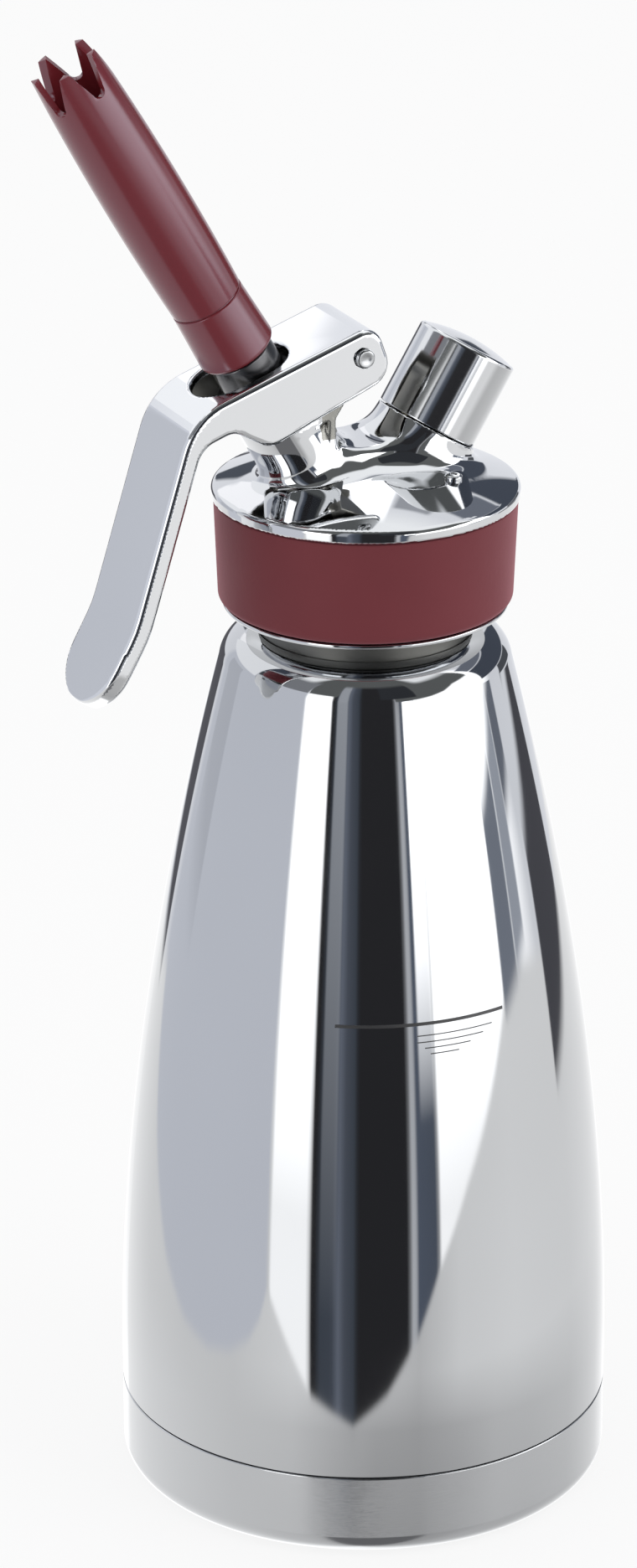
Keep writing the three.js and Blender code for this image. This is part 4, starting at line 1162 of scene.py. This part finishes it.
def on_face(matrix, along, depth):
    """A point under the top face of the handle or the toe, as along the arm and up."""
    p = matrix @ Vector((-along, 0, -depth))
    return [-p.x, p.z]


def inner_corner():
    along, up = on_face(HANDLE, 0, HANDLE_THICKNESS)
    return [along + (up + ARCH_DEPTH) / math.tan(HANDLE_TURN), -ARCH_DEPTH]


TOE_CORNER = HANDLE_STRAIGHT + HANDLE_THICKNESS * math.tan(TOE_TURN / 2)
# Side view of the lever: along the arm, up, radius of the corner
LEVER_OUTLINE = rounded_outline(
    [
        [-LEVER_BACK, LEVER_RISE, 4.2],
        [-LEVER_BACK, -6.7, LEVER_BACK],
        [25, -8.9, 4.6],
        [31.2, -ARCH_DEPTH, 4],
        [*inner_corner(), 6],
        [*on_face(HANDLE, TOE_CORNER, HANDLE_THICKNESS), TOE_BEND + HANDLE_THICKNESS],
        [*on_face(TOE, TOE_LENGTH, HANDLE_THICKNESS), TOE_ROUND],
        [*on_face(TOE, TOE_LENGTH, 0), TOE_ROUND],
        [*on_face(HANDLE, HANDLE_STRAIGHT, 0), TOE_BEND],
        [ARM_LENGTH, LEVER_RISE, 15],
    ]
)
CHANNEL_TOP = LEVER_RISE - LEVER_TOP_WALL
CHANNEL_OUTLINE = rounded_outline(
    [
        [-LEVER_BACK - 6, CHANNEL_TOP, 0],
        [-LEVER_BACK - 6, -15, 0],
        [CHANNEL_END + 1.6, -15, 0],
        [CHANNEL_END + 1.6, -ARCH_DEPTH, 0],
        [CHANNEL_END, CHANNEL_TOP, 3],
    ]
)


def lever_distance(points):
    x, y, z = points.T
    solid = plate_distance(points, LEVER_OUTLINE, LEVER_HALF_WIDTH, LEVER_ROUND)
    end = placed(points, TOE.inverted())
    along = np.minimum(end[:, 0] + TOE_LENGTH - LEVER_HALF_WIDTH, 0)
    beyond = np.hypot(along, end[:, 1]) - LEVER_HALF_WIDTH
    on_far_side = end[:, 0] < -TOE_LENGTH + LEVER_HALF_WIDTH + 3
    solid = np.where(on_far_side, rounded_both(solid, beyond, TOE_ROUND), solid)
    side = np.abs(y) - LEVER_HALF_WIDTH + LEVER_WALL
    channel = rounded_both(outline_distance(x, z, CHANNEL_OUTLINE), side, CHANNEL_ROUND)
    solid = blend_cut(solid, channel, CHANNEL_EDGE)
    stem = placed(points, VALVE.inverted() @ LEVER)
    across = np.maximum(np.abs(stem[:, 0] + HOLE_SHIFT) - HOLE_STRETCH, 0)
    hole = np.hypot(across, stem[:, 1]) - HOLE_HALF_WIDTH
    hole = np.maximum(hole, HOLE_FOOT - stem[:, 2])
    solid = blend_cut(solid, hole, HOLE_EDGE)
    pin_hole = np.hypot(x, z) - PIN_RADIUS - GAP
    return blend_cut(solid, pin_hole, PIN_HOLE_EDGE)


lever = surface("lever_chromed", lever_distance, (-84, -12.5, -50), (7, 12.5, 8), LEVER)
dress(lever, "lever", "polished_casting", chrome_lever_painted_light, "lever")


def in_channel(p):
    """On the underside of the lever's arm, between its cheeks."""
    inside = abs(p.y) < LEVER_HALF_WIDTH - LEVER_WALL + MARGIN
    return inside and p.z < CHANNEL_TOP + MARGIN and p.x > -CHANNEL_END


dull_faces(lever, LEVER.inverted(), in_channel)

# Camera
LENS = 143.06
CAMERA_AZIMUTH = math.radians(-25.7)
CAMERA_ELEVATION = math.radians(21.767)
CAMERA_TARGET = Vector((-8.83, 4.25, 156.1)) * METRES
CAMERA_DISTANCE = 1314.88 * METRES

camera_data = bpy.data.cameras.new("camera")
camera_data.lens = LENS
camera_data.clip_start = 0.05
camera_data.clip_end = 50
camera = bpy.data.objects.new("camera", camera_data)
back = Vector(
    (
        math.sin(CAMERA_AZIMUTH) * math.cos(CAMERA_ELEVATION),
        -math.cos(CAMERA_AZIMUTH) * math.cos(CAMERA_ELEVATION),
        math.sin(CAMERA_ELEVATION),
    )
)
camera.location = CAMERA_TARGET + back * CAMERA_DISTANCE
camera.rotation_mode = "QUATERNION"
camera.rotation_quaternion = (-back).to_track_quat("-Z", "Y")
bpy.context.scene.collection.objects.link(camera)
bpy.context.scene.camera = camera


# Studio: a pale room with cards standing round the object, as metal sees them
ROOM_LIGHT = 0.85
CARD_LIGHT = 3
WHITE = (1, 1, 1)
# Widths of soft edges, in degrees
CARD_SOFT = 0.7
TOP_SOFT = 5
PATCH_SOFT = 1.2
CEILING_SOFT = 8
CEILING_HEIGHT = 50
# White cards by azimuth in degrees, from -Y towards +X
LIGHTS = [
    (-180, 0), (-72.5, 0), (-71, 1), (-52.5, 1), (-51, 0), (9.5, 0), (11, 1), (66, 1), (84, 0),
    (180, 0),
]
# The other cards by azimuth, with the shade of each
NONE = (0, 0, 0)
BLACK = (0.009, 0.009, 0.01)
GREY_CARD = (0.239, 0.247, 0.27)
BACK_CARD = (0.3, 0.305, 0.32)
SLATE = (0.022, 0.026, 0.033)
STREAK = (0.2, 0.205, 0.215)
SHADES = [
    (-180, BACK_CARD), (-168, BACK_CARD), (-163, GREY_CARD), (-73, GREY_CARD), (-71.5, NONE),
    (-52.5, NONE), (-51, BLACK), (-48.5, BLACK), (-47, SLATE), (-41, (0.024, 0.028, 0.036)),
    (-38, (0.055, 0.062, 0.078)), (-35, (0.03, 0.034, 0.043)), (-31, SLATE), (-29, BLACK),
    (-4.5, BLACK), (-3.5, STREAK), (-1.5, STREAK), (-0.5, (0.036, 0.043, 0.058)),
    (9, (0.032, 0.038, 0.05)), (10.5, NONE), (66, NONE), (84, BACK_CARD), (180, BACK_CARD),
]
# Height of the cards' feet by azimuth, in degrees
CARD_FOOT = [
    (-180, -19), (-162, -17), (-150, -19.5), (-135, -22), (-120, -23.6), (-105, -24.2),
    (-92, -23.8), (-82, -22.8), (-76, -21.4), (-72, -19.5), (-70.5, -20), (-51, -25.2),
    (-31, -27.4), (-15, -25), (0, -21.4), (10, -18.2), (25, -14.8), (45, -11.3), (58, -9),
    (80, -12), (120, -17), (150, -19), (180, -19),
]
# Height of the cards' tops by azimuth, in degrees. Above them it is dim up to the ceiling, and
# where the top is over the ceiling's height nothing is dim
CARD_TOP = [
    (-180, 60), (-74, 60), (-72.5, 20), (-48, 20), (-46, 60), (-5, 60), (-3, 6), (14, 6),
    (26, 8), (38, 13), (50, 23), (70, 27), (74, 60), (180, 60),
]
# The floor by azimuth, seen near the object and farther off
FLOOR_NEAR = [
    (-180, 0.37), (-150, 0.335), (-120, 0.3), (-90, 0.265), (-60, 0.24), (-40, 0.19),
    (-20, 0.155), (0, 0.152), (20, 0.17), (40, 0.205), (60, 0.208), (90, 0.232), (120, 0.3),
    (140, 0.41), (160, 0.5), (180, 0.45),
]
FLOOR_FAR = [
    (-180, 0.36), (-150, 0.305), (-120, 0.285), (-90, 0.278), (-60, 0.32), (-30, 0.3),
    (0, 0.23), (20, 0.3), (50, 0.32), (90, 0.308), (120, 0.33), (150, 0.37), (180, 0.38),
]
# Further cards: azimuths from and to, heights from and to, how soft the foot is, shade
PATCHES = [
    ((-47.5, -38.5), (-20, 60), 30, (0.145, 0.152, 0.165)),
    ((1.2, 10.5), (-10.5, 9), 13, WHITE),
    ((-15, 15), (17, 82), 1, (0.012, 0.013, 0.015)),
    ((-45, 5), (-80, -31), 1, (0.06, 0.06, 0.062)),
    ((98, 124), (-8, 6), 1, (0.03, 0.032, 0.036)),
    ((-158, -138), (-13, 13), 3, (0.2, 0.207, 0.226)),
    ((-180.5, -125), (17, 60), 1, (0.36, 0.365, 0.375)),
    ((-125, -72.5), (23, 60), 1, (0.085, 0.088, 0.095)),
    ((-185, -169), (-18.5, -2), 1, (0.04, 0.04, 0.045)),
    ((158, 185), (-18.5, -2), 1, (0.04, 0.04, 0.045)),
    ((53, 66), (-10.5, -2.2), 1, (0.075, 0.083, 0.1)),
    ((65, 75), (-10.5, -2.2), 1, (0.14, 0.15, 0.17)),
    ((74, 84), (-7, -2.2), 1, (0.06, 0.066, 0.08)),
    ((87, 119), (-17, -9), 1, (0.028, 0.028, 0.032)),
    ((75, 141), (6, 33), 1, (0.024, 0.028, 0.037)),
    ((75, 137), (33, 47), 1, (0.06, 0.066, 0.08)),
    ((137, 147.5), (33, 51), 1, (0.135, 0.14, 0.152)),
    ((147.5, 157.5), (36, 60), 1, (0.75, 0.75, 0.76)),
    ((157.5, 163.5), (36, 60), 1, (0.125, 0.13, 0.142)),
    ((163, 170), (35, 53), 1, (0.02, 0.023, 0.03)),
    ((160.5, 168.5), (8, 20), 1, (0.03, 0.034, 0.042)),
    ((169, 182), (20, 41), 1, (0.42, 0.42, 0.43)),
    ((169, 182), (41, 52), 1, (0.08, 0.085, 0.1)),
]
# The ceiling by azimuth: pale, with a dark part over the near side
PALE, DIM = (0.38, 0.385, 0.39), (0.045, 0.047, 0.047)
CEILING = [(-180, PALE), (-88, PALE), (-78, DIM), (24, DIM), (34, PALE), (180, PALE)]


def studio():
    world = bpy.data.worlds.new("studio")
    bpy.context.scene.world = world
    world.use_nodes = True
    tree = world.node_tree
    tree.nodes.clear()

    def step(operation, *values):
        return add_node(tree, "Math", dict(enumerate(values)), operation=operation).outputs[0]

    def share(value, start, end):
        """From 0 at the start to 1 at the end."""
        return add_node(tree, "MapRange", {0: value, 1: start, 2: end}).outputs[0]

    def mix(factor, first, second, blend="MIX"):
        inputs = {0: factor, 6: first, 7: second}
        return add_node(tree, "Mix", inputs, data_type="RGBA", blend_type=blend).outputs[2]

    def background(colour, strength):
        return add_node(tree, "Background", {"Color": colour, "Strength": strength}).outputs[0]

    direction = add_node(tree, "TexCoord", {}).outputs["Generated"]
    x, y, z = add_node(tree, "SeparateXYZ", {0: direction}).outputs
    azimuth = step("ARCTAN2", x, step("MULTIPLY", y, -1))
    azimuth = step("MULTIPLY", azimuth, 180 / math.pi)
    height = step("MULTIPLY", step("ARCSINE", z), 180 / math.pi)
    turn = share(azimuth, -180, 180)

    def ramp(stops):
        """A shade by azimuth."""
        node = add_node(tree, "ValToRGB", {"Fac": turn})
        elements = node.color_ramp.elements
        while len(elements) < len(stops):
            elements.new(0.5)
        for element, (at, shade) in zip(elements, stops):
            element.position = at / 360 + 0.5
            element.color = (*(shade if isinstance(shade, tuple) else (shade,) * 3), 1)
        return node.outputs["Color"]

    def curve(stops):
        """A height in degrees by azimuth."""
        shades = ramp([(at, degrees / 180 + 0.5) for at, degrees in stops])
        return step("MULTIPLY", step("SUBTRACT", shades, 0.5), 180)

    floor = mix(share(height, -23.5, -28.5), ramp(FLOOR_FAR), ramp(FLOOR_NEAR))
    brighter = step("ADD", step("MULTIPLY", share(height, -15, 5), 0.52), 0.48)
    lights = mix(1.0, ramp(LIGHTS), brighter, "MULTIPLY")
    cards = mix(1.0, lights, ramp(SHADES), "ADD")
    room = mix(share(step("SUBTRACT", height, curve(CARD_FOOT)), 0, CARD_SOFT), floor, cards)
    room = mix(share(step("SUBTRACT", height, curve(CARD_TOP)), 0, TOP_SOFT), room, DIM)
    for (left, right), (low, high), foot_soft, shade in PATCHES:
        inside = share(azimuth, left, left + PATCH_SOFT)
        inside = step("MULTIPLY", inside, share(azimuth, right, right - PATCH_SOFT))
        inside = step("MULTIPLY", inside, share(height, low, low + foot_soft))
        inside = step("MULTIPLY", inside, share(height, high, high - PATCH_SOFT))
        room = mix(inside, room, shade)
    above = share(height, CEILING_HEIGHT, CEILING_HEIGHT + CEILING_SOFT)
    room = mix(above, room, ramp(CEILING))

    path = add_node(tree, "LightPath", {})
    seen = background(WHITE, ROOM_LIGHT)
    mirrored, backdrop = background(room, CARD_LIGHT), background(WHITE, 1)
    for ray, shader in (("Is Glossy Ray", mirrored), ("Is Camera Ray", backdrop)):
        inputs = {0: path.outputs[ray], 1: seen, 2: shader}
        seen = add_node(tree, "MixShader", inputs).outputs[0]
    add_node(tree, "OutputWorld", {"Surface": seen})


studio()

# Lamps, in metres
LAMP_SIZE = 1.2
LAMP_AIM = Vector((0, 0, 0.15))


def area_light(name, place, power):
    data = bpy.data.lights.new(name, "AREA")
    data.size = LAMP_SIZE
    data.energy = power
    lamp = bpy.data.objects.new(name, data)
    lamp.location = place
    lamp.rotation_mode = "QUATERNION"
    lamp.rotation_quaternion = (LAMP_AIM - Vector(place)).to_track_quat("-Z", "Y")
    lamp.visible_glossy = False
    lamp.visible_camera = False
    bpy.context.scene.collection.objects.link(lamp)


area_light("soft_key", (0.9, -1.3, 1.6), 9)
area_light("soft_fill", (-1.6, -0.5, 1.1), 3)

# Floor
FLOOR_REACH = 6000
FLOOR_HEIGHT = -0.15
FLOOR_GLOW = 0.85


def make_floor():
    """A pale floor that keeps shadows, with part of its paleness shown to the camera alone."""
    corners = ((-1, -1), (1, -1), (1, 1), (-1, 1))
    points = [(x * FLOOR_REACH, y * FLOOR_REACH, FLOOR_HEIGHT) for x, y in corners]
    floor = mesh_object("floor", points, [(0, 1, 2, 3)])
    material = bpy.data.materials.new("floor")
    material.use_nodes = True
    set_shader(material, Base_Color=(0.82, 0.82, 0.83), Roughness=0.9)
    tree = material.node_tree
    path = add_node(tree, "LightPath", {})
    inputs = {0: path.outputs["Is Camera Ray"], 1: FLOOR_GLOW}
    glow_share = add_node(tree, "Math", inputs, operation="MULTIPLY").outputs[0]
    surface_shader = tree.nodes["Principled BSDF"].outputs[0]
    glow = add_node(tree, "Emission", {}).outputs[0]
    mixed = add_node(tree, "MixShader", {0: glow_share, 1: surface_shader, 2: glow})
    fill(tree.nodes["Material Output"].inputs["Surface"], mixed.outputs[0])
    floor.data.materials.append(material)
    floor.visible_glossy = False


make_floor()

bpy.context.scene.view_settings.view_transform = "Standard"
